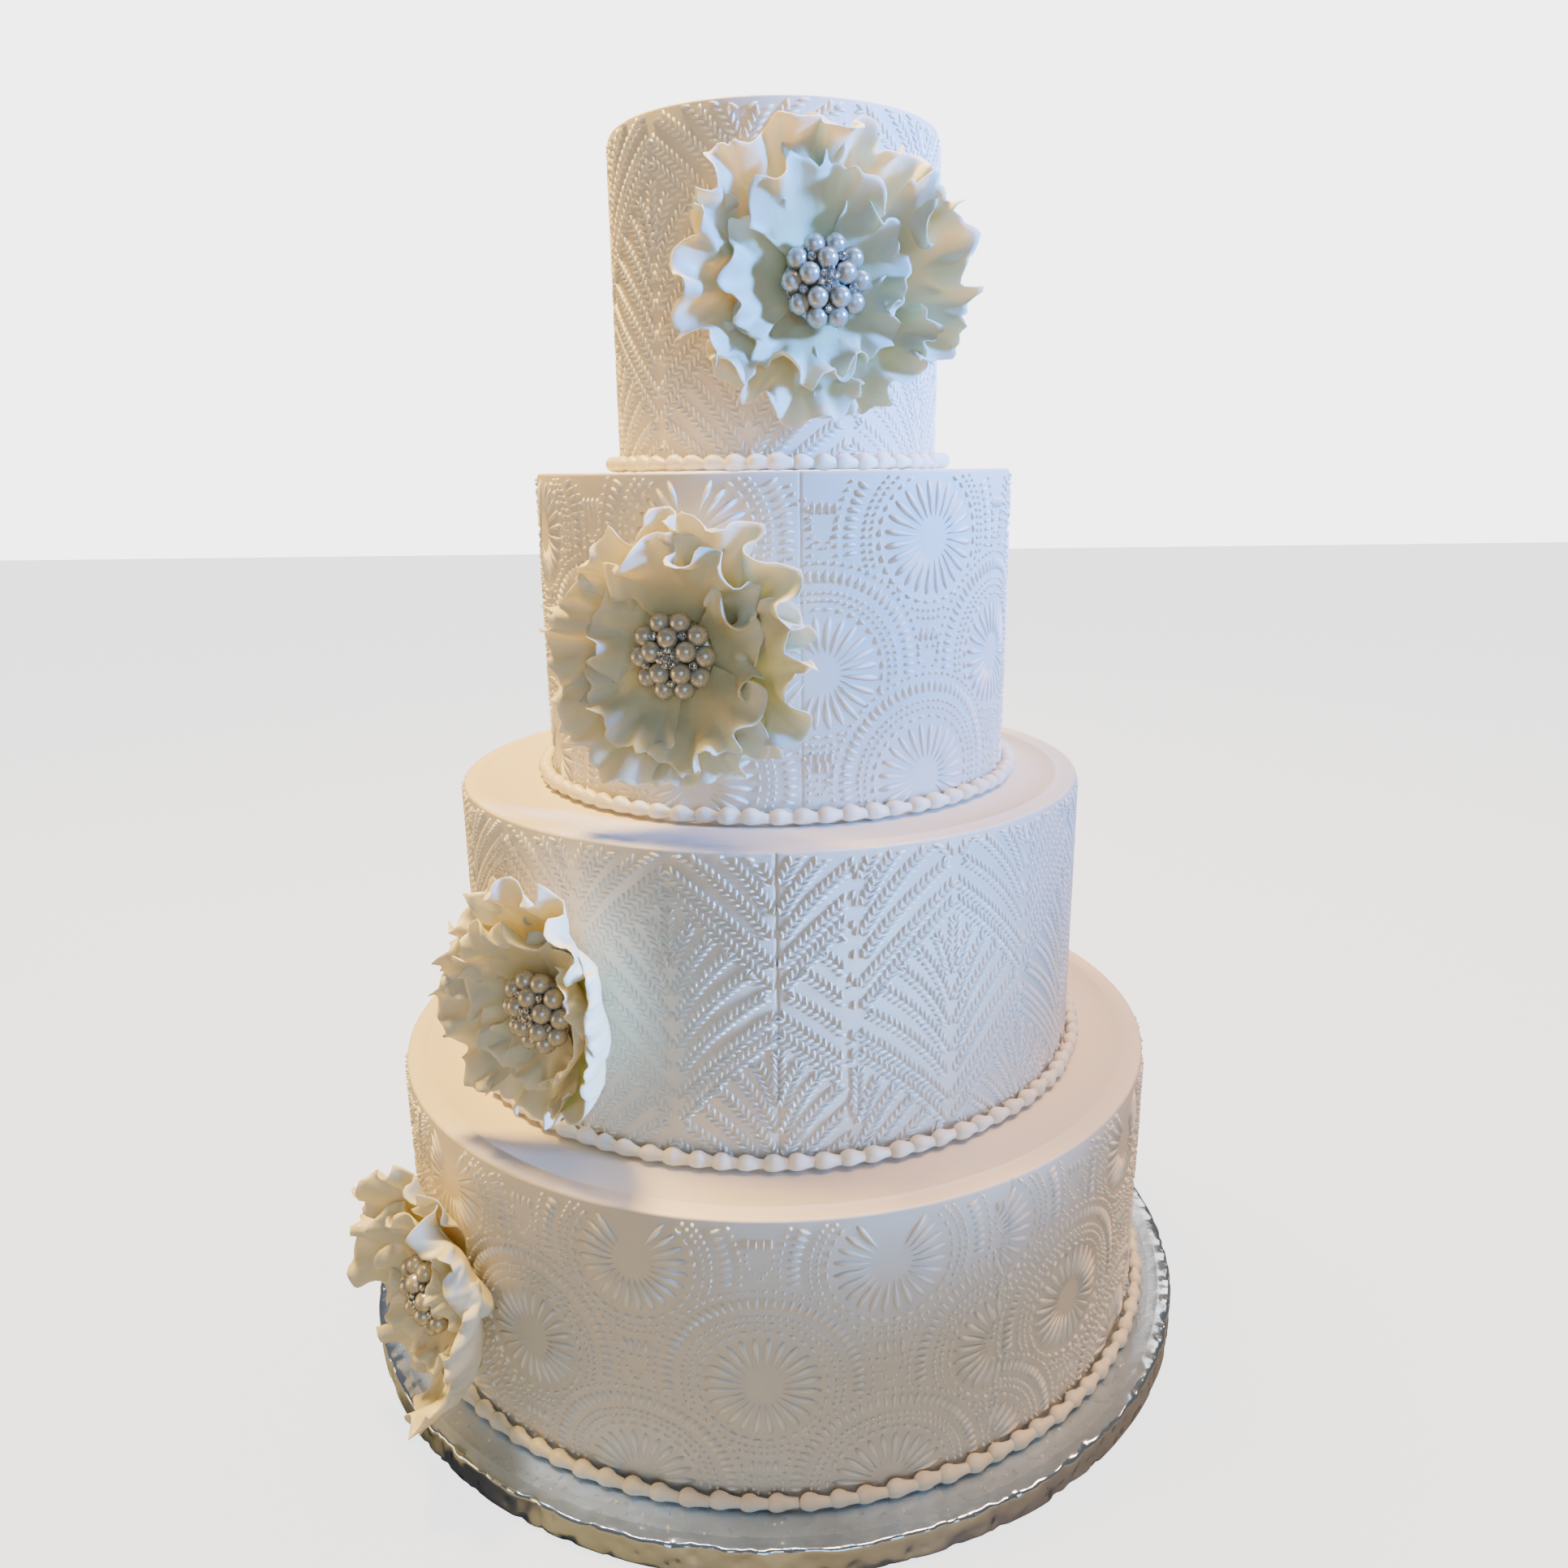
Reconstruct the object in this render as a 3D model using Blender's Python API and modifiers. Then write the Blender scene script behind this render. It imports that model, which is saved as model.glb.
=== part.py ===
"""Four-tier wedding cake on its foil-covered cake drum, with four ruffled sugar-paste flowers.

Metres, +Z up. The origin is the centre of the drum's underside and -Y is the front.
Every piece is its own object. The pieces of a flower hang on an empty at the place where the
flower sits on its tier, turned so that the empty's local Z points straight out of the cake.
"""

import math
from dataclasses import dataclass

import bmesh
import bpy
import numpy as np

MM = 0.001
GAP = 0.3 * MM

DRUM_RADIUS = 218.5 * MM
DRUM_HEIGHT = 14.0 * MM
DRUM_EDGE = 1.8 * MM

ROUND_SIDES = 64
TIER_EDGE = 1.2 * MM

BEAD_HEIGHT = 8.0 * MM
NECK_SHARE = 0.55
NECK_PLACE = 0.62

PEARL_RADIUS = 4.0 * MM
BROOCH_LIFT = 16.0 * MM
PLATE_RADIUS = 17.0 * MM
PLATE_TOP_RADIUS = 6.8 * MM
PLATE_HEIGHT = 6.0 * MM
PLATE_SIDES = 14

PETAL_THICKNESS = 1.0 * MM
PETAL_ROOT = 5.0 * MM
COLUMNS = 8
PITCH_COLUMNS = 6
CORNER_CUT = 0.13


@dataclass(frozen=True)
class Tier:
    """One covered cake: its radius, its height, its sideways shift and the beads round its foot."""

    radius: float
    height: float
    shift: float
    beads: int


TIERS = (
    Tier(194.9 * MM, 134.5 * MM, 1.5 * MM, 100),
    Tier(155.6 * MM, 138.5 * MM, 1.0 * MM, 92),
    Tier(114.5 * MM, 144.5 * MM, 4.5 * MM, 70),
    Tier(76.2 * MM, 144.0 * MM, 6.5 * MM, 52),
)


@dataclass(frozen=True)
class PearlRing:
    """A ring of pearls on a brooch: how many, how far out, how high, and where the first one is."""

    count: int
    reach: float
    height: float
    start_deg: float


PEARL_RINGS = (
    PearlRing(1, 0.0, 8.7 * MM, 0.0),
    PearlRing(5, 7.6 * MM, 8.1 * MM, 20.0),
    PearlRing(10, 14.2 * MM, 4.7 * MM, 2.0),
)


@dataclass(frozen=True)
class Ring:
    """One ring of petals: how many, how far they reach, how they cup and how deep they ruffle.

    foot is the height of the ring's root over the wall, rise is how much higher its rim is, and
    step is how much each petal's one side lies higher than its neighbour's.
    """

    name: str
    petals: int
    rows: int
    reach: float
    foot: float
    rise: float
    cup: float
    ruffle: float
    step: float
    turn_deg: float


OUTER = Ring("outer", 6, 3, 58.0 * MM, 3.2 * MM, 30.0 * MM, 2.4, 4.2 * MM, 3.0 * MM, 0.0)
INNER = Ring("inner", 5, 2, 43.0 * MM, 8.9 * MM, 28.0 * MM, 3.0, 3.6 * MM, 3.0 * MM, 25.0)


@dataclass(frozen=True)
class Flower:
    """A flower's place on its tier and its form.

    The bearing goes round the cake from the front, towards +X. The depth scales how far the rims
    stand out. The lean makes the petals longer on the right and on the upper side, as shares.
    """

    tier: int
    bearing_deg: float
    height_share: float
    size: float
    depth: float
    lean: tuple
    turn_deg: float
    seed: int


FLOWERS = (
    Flower(0, -46.0, 0.51, 0.97, 0.80, (-0.03, 0.0), 10.0, 67),
    Flower(1, -33.5, 0.49, 0.97, 1.00, (-0.05, 0.0), 40.0, 44),
    Flower(2, -17.5, 0.51, 0.98, 0.85, (0.03, 0.0), 5.0, 34),
    Flower(3, 12.0, 0.50, 1.03, 0.90, (-0.03, 0.0), 25.0, 31),
)


def material(name, colour, roughness, metallic=0.0):
    """A Principled material with the part's colour."""
    made = bpy.data.materials.new(name)
    made.use_nodes = True
    shader = made.node_tree.nodes["Principled BSDF"]
    shader.inputs["Base Color"].default_value = (*colour, 1.0)
    shader.inputs["Roughness"].default_value = roughness
    shader.inputs["Metallic"].default_value = metallic
    return made


def clear_scene():
    """Removes what the file opens with."""
    for obj in list(bpy.data.objects):
        bpy.data.objects.remove(obj)


def add_mesh_object(name, mesh, finish, collection, parent=None):
    """Links a mesh as a named object with its material."""
    mesh.materials.clear()
    mesh.materials.append(finish)
    obj = bpy.data.objects.new(name, mesh)
    collection.objects.link(obj)
    obj.parent = parent
    return obj


def mesh_from(bm, name):
    """Turns a bmesh into a mesh, and frees it."""
    mesh = bpy.data.meshes.new(name)
    bm.to_mesh(mesh)
    bm.free()
    return mesh


def disc(name, radius, height, edge, both_edges):
    """An upright cylinder standing on z = 0, with its top edge eased, and its foot too if asked."""
    bm = bmesh.new()
    bmesh.ops.create_cone(
        bm, cap_ends=True, segments=ROUND_SIDES, radius1=radius, radius2=radius, depth=height
    )
    bmesh.ops.translate(bm, vec=(0, 0, height / 2), verts=bm.verts)
    eased = [
        e
        for e in bm.edges
        if abs(e.verts[0].co.z - e.verts[1].co.z) < GAP and (both_edges or e.verts[0].co.z > GAP)
    ]
    bmesh.ops.bevel(bm, geom=eased, offset=edge, segments=1, affect="EDGES")
    mesh = mesh_from(bm, name)
    mesh.shade_smooth()
    mesh.set_sharp_from_angle(angle=math.radians(30))
    return mesh


def bead_border(name, wall_radius, beads):
    """A piped snail trail: drop-shaped beads in a ring, tucked into the corner of wall and plate.

    A torus gives two stations for each bead, the belly and the neck. Each section is a small
    triangle, with its back flat along the wall and its nose pointing out.
    """
    section_radius = BEAD_HEIGHT / math.sqrt(3)
    middle = wall_radius + GAP + section_radius / 2
    bpy.ops.mesh.primitive_torus_add(
        major_segments=2 * beads,
        minor_segments=3,
        major_radius=middle,
        minor_radius=section_radius,
    )
    ring = bpy.context.active_object
    mesh = ring.data
    half_bead = math.pi / beads
    for vertex in mesh.vertices:
        x, y, z = vertex.co
        station = round(math.atan2(y, x) / half_bead) % (2 * beads)
        belly = station % 2 == 0
        share = 1.0 if belly else NECK_SHARE
        bearing = half_bead * (station if belly else station - 1 + 2 * NECK_PLACE)
        inside = wall_radius + GAP
        reach = inside + (math.hypot(x, y) - inside) * share
        height = GAP + (z + BEAD_HEIGHT / 2) * share
        vertex.co = (reach * math.cos(bearing), reach * math.sin(bearing), height)
    mesh.name = name
    bpy.data.objects.remove(ring)
    return mesh


def pearl_places():
    """Centres of all the pearls of a brooch, from the middle outwards."""
    for ring in PEARL_RINGS:
        for k in range(ring.count):
            bearing = math.radians(ring.start_deg) + math.tau * k / ring.count
            yield ring.reach * math.cos(bearing), ring.reach * math.sin(bearing), ring.height


def brooch(name, collection):
    """The jewelled centre: ten pearls round five, and one in the middle for the stone cluster."""
    bm = bmesh.new()
    bmesh.ops.create_cone(
        bm,
        cap_ends=True,
        segments=PLATE_SIDES,
        radius1=PLATE_RADIUS,
        radius2=PLATE_TOP_RADIUS,
        depth=PLATE_HEIGHT,
    )
    bmesh.ops.translate(bm, vec=(0, 0, PLATE_HEIGHT / 2), verts=bm.verts)
    plate = add_mesh_object(name, mesh_from(bm, name), PEARL, collection)

    pearls = bpy.data.collections.new(name + "_pearls")
    bpy.context.scene.collection.children.link(pearls)
    bm = bmesh.new()
    bmesh.ops.create_icosphere(bm, subdivisions=1, radius=PEARL_RADIUS)
    pearl_mesh = mesh_from(bm, name + "_pearl")
    pearl_mesh.materials.append(PEARL)
    for k, place in enumerate(pearl_places()):
        pearl = bpy.data.objects.new(f"{name}_pearl_{k}", pearl_mesh)
        pearls.objects.link(pearl)
        pearl.location = place
        pearl.rotation_euler = (0.3 * k, 0.0, 0.7 * k)

    fuse = plate.modifiers.new("fuse", "BOOLEAN")
    fuse.operation = "UNION"
    fuse.operand_type = "COLLECTION"
    fuse.collection = pearls
    fuse.solver = "MANIFOLD"
    bpy.context.view_layer.update()
    graph = bpy.context.evaluated_depsgraph_get()
    fused = bpy.data.meshes.new_from_object(plate.evaluated_get(graph))
    plate.modifiers.clear()
    plate.data = fused
    for pearl in list(pearls.objects):
        bpy.data.objects.remove(pearl)
    bpy.data.collections.remove(pearls)
    return plate


def ruffle_heights(ring, seed):
    """Crests and troughs round a ring's rim, one for each column line, between -1 and 1."""
    lines = ring.petals * PITCH_COLUMNS
    depth = np.random.default_rng(seed).uniform(0.45, 1.0, lines)
    return depth * np.where(np.arange(lines) % 2 == 0, 1.0, -1.0)


def petal_reaches(ring, seed):
    """How far each petal of a ring reaches, as a share of the ring's reach."""
    return np.random.default_rng(seed + 100).uniform(0.90, 1.06, ring.petals)


def bowl_height(flower, ring, share, crest):
    """Height of a ring's ruffled bowl, at a share of its reach, on a line with the crest given."""
    rise = ring.rise * flower.depth
    return ring.foot + rise * share**ring.cup + ring.ruffle * crest * share**3


def petal_mesh(name, flower, ring, index, crests, reach_share):
    """One petal: a fan of the ring's bowl, ruffled towards its rim.

    All petals of a ring follow one bowl and one line of ruffles. Each petal climbs by a step
    from its one side to its other, so that every petal overlaps the next as roof tiles do.
    The rim runs in or out along the straight line from the row before it.
    """
    bm = bmesh.new()
    bmesh.ops.create_grid(bm, x_segments=COLUMNS, y_segments=ring.rows, size=0.5)
    reach = ring.reach * flower.size
    root_share = PETAL_ROOT / reach
    column_angle = math.tau / (ring.petals * PITCH_COLUMNS)
    first_line = index * PITCH_COLUMNS
    turn = math.radians(flower.turn_deg + ring.turn_deg)
    lean_right, lean_up = flower.lean
    for vertex in bm.verts:
        column = round((vertex.co.x + 0.5) * COLUMNS)
        row = round((vertex.co.y + 0.5) * ring.rows)
        side = 2.0 * column / COLUMNS - 1.0
        bearing = turn + column_angle * (first_line + column)
        crest = crests[(first_line + column) % len(crests)]
        share = root_share + (1.0 - root_share) * row / ring.rows
        height = bowl_height(flower, ring, share, crest)
        if row == ring.rows:
            before = share - (1.0 - root_share) / ring.rows
            rim_share = reach_share * (1.0 - CORNER_CUT * side**4)
            rim_share *= 1.0 + lean_right * math.cos(bearing) + lean_up * math.sin(bearing)
            slope = (height - bowl_height(flower, ring, before, crest)) / (share - before)
            height += slope * (rim_share - share)
            share = rim_share
        height += ring.step * (column - COLUMNS / 2) / PITCH_COLUMNS
        radius = share * reach
        vertex.co = (radius * math.cos(bearing), radius * math.sin(bearing), height)
    bmesh.ops.triangulate(bm, faces=bm.faces, quad_method="FIXED")
    return mesh_from(bm, name)


def add_flower(number, flower, tier, tier_foot, collection):
    """An empty on the tier's wall, with the petals and the brooch on it."""
    bearing = math.radians(flower.bearing_deg)
    seat = bpy.data.objects.new(f"flower_{number}", None)
    collection.objects.link(seat)
    seat.location = (
        tier.shift + tier.radius * math.sin(bearing),
        -tier.radius * math.cos(bearing),
        tier_foot + tier.height * flower.height_share,
    )
    seat.rotation_euler = (math.radians(90), 0, bearing)
    for ring in (OUTER, INNER):
        crests = ruffle_heights(ring, flower.seed + ring.petals)
        reaches = petal_reaches(ring, flower.seed)
        for index in range(ring.petals):
            name = f"flower_{number}_{ring.name}_petal_{index + 1}"
            mesh = petal_mesh(name, flower, ring, index, crests, reaches[index])
            petal = add_mesh_object(name, mesh, SUGAR_PASTE, collection, seat)
            shell = petal.modifiers.new("thickness", "SOLIDIFY")
            shell.thickness = PETAL_THICKNESS
            shell.offset = 0.0
    centre = brooch(f"flower_{number}_brooch", collection)
    centre.parent = seat
    centre.location = (0, 0, BROOCH_LIFT)


def build():
    """Builds the cake from the drum upwards."""
    clear_scene()
    cake = bpy.data.collections.new("wedding_cake")
    bpy.context.scene.collection.children.link(cake)
    drum = disc("cake_drum", DRUM_RADIUS, DRUM_HEIGHT, DRUM_EDGE, both_edges=True)
    add_mesh_object("cake_drum", drum, SILVER_FOIL, cake)
    foot = DRUM_HEIGHT + GAP
    for k, tier in enumerate(TIERS, start=1):
        body_mesh = disc(f"tier_{k}", tier.radius, tier.height, TIER_EDGE, both_edges=False)
        body = add_mesh_object(f"tier_{k}", body_mesh, FONDANT, cake)
        body.location = (tier.shift, 0, foot)
        border_mesh = bead_border(f"border_{k}", tier.radius, tier.beads)
        border = add_mesh_object(f"border_{k}", border_mesh, ICING, cake)
        border.location = (tier.shift, 0, foot - GAP)
        for flower in FLOWERS:
            if flower.tier == k - 1:
                add_flower(k, flower, tier, foot, cake)
        foot += tier.height + GAP


FONDANT = material("rolled_fondant", (0.84, 0.80, 0.74), 0.55)
ICING = material("royal_icing", (0.88, 0.83, 0.73), 0.5)
SUGAR_PASTE = material("sugar_paste", (0.86, 0.83, 0.70), 0.45)
PEARL = material("pearl", (0.72, 0.69, 0.62), 0.25, 0.3)
SILVER_FOIL = material("silver_foil", (0.62, 0.61, 0.58), 0.3, 1.0)

build()
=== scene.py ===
"""Looks of the four-tier wedding cake: pressed fondant, piped borders, ruffled flowers, foil drum.

Metres, +Z up, -Y is the front. Places on a tier's wall are given as an arc from the tier's front
line, positive towards +X, and a height over the tier's foot.
"""

import logging
import math
from dataclasses import dataclass
from enum import Enum
from typing import ClassVar

import bmesh
import bpy
import numpy as np
from mathutils import Matrix, Vector


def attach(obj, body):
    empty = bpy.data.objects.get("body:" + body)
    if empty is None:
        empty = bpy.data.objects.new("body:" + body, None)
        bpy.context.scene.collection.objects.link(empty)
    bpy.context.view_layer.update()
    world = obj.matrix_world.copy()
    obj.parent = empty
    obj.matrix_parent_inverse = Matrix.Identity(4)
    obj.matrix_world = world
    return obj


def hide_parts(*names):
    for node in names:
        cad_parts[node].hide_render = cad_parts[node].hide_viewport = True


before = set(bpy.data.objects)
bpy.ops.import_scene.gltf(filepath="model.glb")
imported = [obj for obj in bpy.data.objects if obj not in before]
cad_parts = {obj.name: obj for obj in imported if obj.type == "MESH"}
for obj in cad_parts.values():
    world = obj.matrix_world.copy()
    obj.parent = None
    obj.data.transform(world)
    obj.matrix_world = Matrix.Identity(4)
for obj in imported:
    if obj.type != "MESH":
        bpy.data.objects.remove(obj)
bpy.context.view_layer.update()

Tree = bpy.types.NodeTree
Node = bpy.types.Node
Socket = bpy.types.NodeSocket
Object = bpy.types.Object
Material = bpy.types.Material
# Numbers and colours that a node may also take from another node
Level = float | bpy.types.NodeSocket
Colour = tuple | bpy.types.NodeSocket

LOG = logging.getLogger("wedding_cake")
MM = 0.001
TAU = math.tau
BODY = "root"

# Sizes that the CAD source gives too
GAP = 0.3 * MM
DRUM_RADIUS = 218.5 * MM
DRUM_HEIGHT = 14.0 * MM
BROOCH_LIFT = 16.0 * MM
PETAL_ROOT = 5.0 * MM
# A petal is eight columns wide and its neighbour starts six columns on, so they overlap by two
COLUMNS = 8
PITCH_COLUMNS = 6
CORNER_CUT = 0.13


class Pattern(Enum):
    """The two patterns pressed into the fondant."""

    SUNBURST = "sunburst"
    FERN = "fern"


@dataclass(frozen=True)
class Panel:
    """One sheet of pressed pattern on a wall: where it starts and ends, and where its rows lie.

    A row is the height of its motifs and the arc of one of them.
    """

    start: float
    end: float
    rows: tuple


@dataclass(frozen=True)
class Tier:
    """One covered cake: its size, its sideways shift, its beads and the pattern on its wall.

    Spacing is the arc from one motif of a row to the next. Seams are arcs in millimetres.
    """

    radius: float
    height: float
    shift: float
    beads: int
    pattern: Pattern
    spacing: float
    panels: tuple
    seams: tuple


@dataclass(frozen=True)
class Ring:
    """One ring of petals: how many, how far they reach, how they cup, ruffle and overlap.

    Shortest is the share of its reach that a petal may fall short.
    """

    name: str
    petals: int
    reach: float
    foot: float
    rise: float
    cup: float
    ruffle: float
    step: float
    turn_deg: float
    shortest: float


@dataclass(frozen=True)
class Flower:
    """A flower's place on its tier, its size, its depth, its lean and its seed.

    Calm is how much smoother the petals on its right side are.
    """

    bearing_deg: float
    height_share: float
    size: float
    depth: float
    lean: tuple
    turn_deg: float
    seed: int
    calm: float


TIERS = (
    Tier(194.9 * MM, 134.5 * MM, 1.5 * MM, 100, Pattern.SUNBURST, 106.6 * MM,
         (Panel(-1121.6 * MM, 103 * MM, ((111, -59.0), (57, -5.5), (4, -59.0))),), (103,)),
    Tier(155.6 * MM, 138.5 * MM, 1.0 * MM, 92, Pattern.FERN, 88.9 * MM,
         (Panel(-457 * MM, 32 * MM, ((181.4, 3.0), (120.6, -41.5), (59.8, 3.0), (-1.0, -41.5))),
          Panel(32 * MM, 520.6 * MM, ((170.8, 36.5), (110, 81.0), (49.2, 36.5), (-11.6, 81.0)))),
         (3,)),
    Tier(114.5 * MM, 144.5 * MM, 4.5 * MM, 70, Pattern.SUNBURST, 101.3 * MM,
         (Panel(11 * MM, 365 * MM, ((117, 71.5), (63, 19.7), (14, 69.6))),
          Panel(-354.4 * MM, 11 * MM, ((119, -34.0), (66, -84.0), (17, -34.0)))), (11,)),
    Tier(76.2 * MM, 144.0 * MM, 6.5 * MM, 52, Pattern.FERN, 88.0 * MM,
         (Panel(-239.4 * MM, 239.4 * MM,
                ((184.8, -12.0), (124, -56.0), (63, -12.0), (2.4, -56.0))),), (-239,)),
)
RINGS = (
    Ring("outer", 6, 58.0 * MM, 3.2 * MM, 30.0 * MM, 2.4, 4.2 * MM, 3.0 * MM, 0.0, 0.03),
    Ring("inner", 5, 43.0 * MM, 8.9 * MM, 28.0 * MM, 3.0, 3.6 * MM, 3.0 * MM, 25.0, 0.16),
)
FLOWERS = (
    Flower(-46.0, 0.51, 0.97, 0.80, (-0.03, 0.0), 10.0, 67, 1.0),
    Flower(-33.5, 0.49, 0.97, 1.00, (-0.05, 0.0), 40.0, 44, 0.8),
    Flower(-17.5, 0.51, 0.98, 0.85, (0.03, 0.0), 5.0, 34, 0.0),
    Flower(12.0, 0.50, 1.03, 0.90, (-0.03, 0.0), 25.0, 31, 0.2),
)


# Tools for meshes and nodes
def linear(hex_colour: str) -> tuple:
    """Turns an sRGB colour into Blender's linear numbers.

    Args:
        hex_colour: The colour as six hex digits after a hash sign.

    Returns:
        Red, green, blue and full alpha.
    """
    parts = [int(hex_colour[k : k + 2], 16) / 255 for k in (1, 3, 5)]
    return (*[p / 12.92 if p <= 0.04045 else ((p + 0.055) / 1.055) ** 2.4 for p in parts], 1.0)


def fill(tree: Tree, node: Node, sockets: dict) -> None:
    """Sets a node's inputs.

    Args:
        tree: The node tree.
        node: The node.
        sockets: A value or another node's output socket for each input, by name or number.
    """
    for key, value in sockets.items():
        if isinstance(value, Socket):
            tree.links.new(value, node.inputs[key])
        else:
            node.inputs[key].default_value = value


def add(tree: Tree, kind: str, sockets: dict | None = None, **settings: object) -> Node:
    """Adds a node to a tree.

    Args:
        tree: The node tree.
        kind: Blender's name for the kind of node.
        sockets: What its inputs get, as fill takes it.
        **settings: The node's own settings.

    Returns:
        The new node.
    """
    node = tree.nodes.new(kind)
    for name, value in settings.items():
        setattr(node, name, value)
    fill(tree, node, sockets or {})
    return node


def linked(name: str, data: bpy.types.ID) -> Object:
    """Makes an object of a mesh, a lamp or a camera and links it to the scene.

    Args:
        name: The object's name.
        data: What it holds.

    Returns:
        The new object.
    """
    made = bpy.data.objects.new(name, data)
    bpy.context.scene.collection.objects.link(made)
    return made


def mesh_object(name: str, verts: np.ndarray, faces: list, smooth: bool = True) -> Object:
    """Makes a linked object from points and faces.

    Args:
        name: The object's name.
        verts: The points, in metres.
        faces: Point numbers of each face.
        smooth: Whether the faces are shaded smooth.

    Returns:
        The new object.
    """
    mesh = bpy.data.meshes.new(name)
    mesh.from_pydata(np.asarray(verts, dtype=float).tolist(), [], [list(map(int, f)) for f in faces])
    if smooth:
        mesh.shade_smooth()
    mesh.update()
    return linked(name, mesh)


def point_values(made: Object, name: str, values: np.ndarray) -> None:
    """Gives each point of a mesh a number that the finish reads."""
    made.data.attributes.new(name, "FLOAT", "POINT").data.foreach_set("value", values)


def grid_faces(rows: int, columns: int, closed: bool) -> list:
    """Faces of a grid of points that is stored row by row.

    Args:
        rows: Number of rows of points.
        columns: Number of points in a row.
        closed: Whether the last column joins the first one.

    Returns:
        Quads, with their front towards the side where rows run up and columns run right.
    """
    faces = []
    for low in range(0, (rows - 1) * columns, columns):
        for c in range(columns if closed else columns - 1):
            d = (c + 1) % columns
            faces.append((low + c, low + d, low + columns + d, low + columns + c))
    return faces


def tube_faces(rings: int, columns: int) -> list:
    """Faces of a tube of rings of points, with a flat cap on its first and its last ring.

    Args:
        rings: Number of rings.
        columns: Number of points in a ring.

    Returns:
        The quads and the two caps.
    """
    last = columns * (rings - 1)
    caps = [tuple(reversed(range(columns))), tuple(range(last, last + columns))]
    return grid_faces(rings, columns, closed=True) + caps


def lathe(profile: list, bearings: np.ndarray, shift: float = 0.0) -> tuple:
    """Turns a profile round an upright axis.

    Args:
        profile: Radius and height of each ring, from the foot up and in to the middle.
        bearings: Bearing of each column, from the front towards +X.
        shift: The axis' place along X.

    Returns:
        The points and the faces, with both ends closed by a fan.
    """
    rings = np.array(profile)
    count, columns = len(rings), len(bearings)
    x = shift + rings[:, :1] * np.sin(bearings)
    y = -rings[:, :1] * np.cos(bearings)
    z = np.repeat(rings[:, 1:2], columns, axis=1)
    verts = np.stack([x, y, z], axis=-1).reshape(-1, 3)
    verts = np.vstack([verts, [[shift, 0, rings[0, 1]], [shift, 0, rings[-1, 1]]]])
    faces = grid_faces(count, columns, closed=True)
    middle, last = count * columns, (count - 1) * columns
    for c in range(columns):
        d = (c + 1) % columns
        faces += [(d, c, middle), (last + c, last + d, middle + 1)]
    return verts, faces


def rounding(radius: float, height: float, edge: float, steps: int) -> list:
    """Profile points of a rounded upper edge, from the wall to the top, by the corner's place."""
    return [(radius - edge * (1 - math.cos(a)), height - edge * (1 - math.sin(a)))
            for a in np.linspace(0, math.pi / 2, steps)]


def finish_piece(piece: Object, replaces: tuple = ()) -> None:
    """Hangs a finished piece on the cake and reports it.

    Args:
        piece: The piece, with its place in its mesh.
        replaces: The CAD nodes that it stands for.
    """
    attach(piece, BODY)
    if replaces:
        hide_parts(*replaces)
    LOG.info("%s: %d faces", piece.name, len(piece.data.polygons))


# Finishes
# Icing, fondant and flower paste are all mostly sugar, a little less dense than the pure crystal
SUGAR_IOR = 1.45


class Surface:
    """A material in the making: a Principled shader, and patterns on the object's coordinates."""

    def __init__(self, name: str, colour: str, roughness: float) -> None:
        """Starts a material of one colour.

        Args:
            name: The material's name.
            colour: Its colour.
            roughness: Its roughness.
        """
        self.material = bpy.data.materials.new(name)
        self.material.use_nodes = True
        self.material.diffuse_color = linear(colour)
        self.tree = self.material.node_tree
        self.shader = self.tree.nodes["Principled BSDF"]
        self.where = add(self.tree, "ShaderNodeTexCoord").outputs["Object"]
        self.dress({"Base Color": linear(colour), "Roughness": roughness})

    def dress(self, sockets: dict) -> Material:
        """Sets the shader's inputs and returns the material."""
        fill(self.tree, self.shader, sockets)
        return self.material

    def attribute(self, name: str) -> Socket:
        """Reads a number that the mesh holds at each point."""
        return add(self.tree, "ShaderNodeAttribute", attribute_name=name).outputs["Fac"]

    def noise(self, size: float, detail: float = 3.0) -> Socket:
        """Adds a noise whose patches are about a real size.

        Args:
            size: The patches' size in metres.
            detail: How many finer layers it has.

        Returns:
            The noise's value.
        """
        sockets = {"Vector": self.where, "Scale": 1 / size, "Detail": detail}
        return add(self.tree, "ShaderNodeTexNoise", sockets).outputs[0]

    def ranged(self, value: Socket, start: float, end: float, low: Level, high: Level) -> Socket:
        """Maps a value from one range to another and stops it at the ends.

        Args:
            value: The value.
            start: Where its range starts.
            end: Where its range ends.
            low: What it becomes at the start.
            high: What it becomes at the end.

        Returns:
            The mapped value.
        """
        sockets = {"Value": value, "From Min": start, "From Max": end, "To Min": low, "To Max": high}
        return add(self.tree, "ShaderNodeMapRange", sockets).outputs[0]

    def mixed(self, share: Socket, first: Colour, second: Colour) -> Socket:
        """Mixes two colours by the second one's share."""
        sockets = {0: share, 6: first, 7: second}
        return add(self.tree, "ShaderNodeMix", sockets, data_type="RGBA").outputs[2]

    def blend(self, value: Socket, low: float, high: float, first: str, second: str) -> Socket:
        """Mixes two colours by a value's place between two limits.

        Args:
            value: The value.
            low: Where the first colour is whole.
            high: Where the second colour is whole.
            first: The first colour.
            second: The second colour.

        Returns:
            The mixed colour.
        """
        return self.mixed(self.ranged(value, low, high, 0.0, 1.0), linear(first), linear(second))

    def bump(self, height: Socket, depth: float, under: Socket | None = None) -> Socket:
        """Adds a bump of a real depth.

        Args:
            height: The pattern, from 0 to 1.
            depth: The pattern's depth in metres.
            under: The normal of a bump below this one.

        Returns:
            The bumped normal.
        """
        below = {} if under is None else {"Normal": under}
        return add(self.tree, "ShaderNodeBump", {"Height": height, "Distance": depth, **below}).outputs[0]


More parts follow.
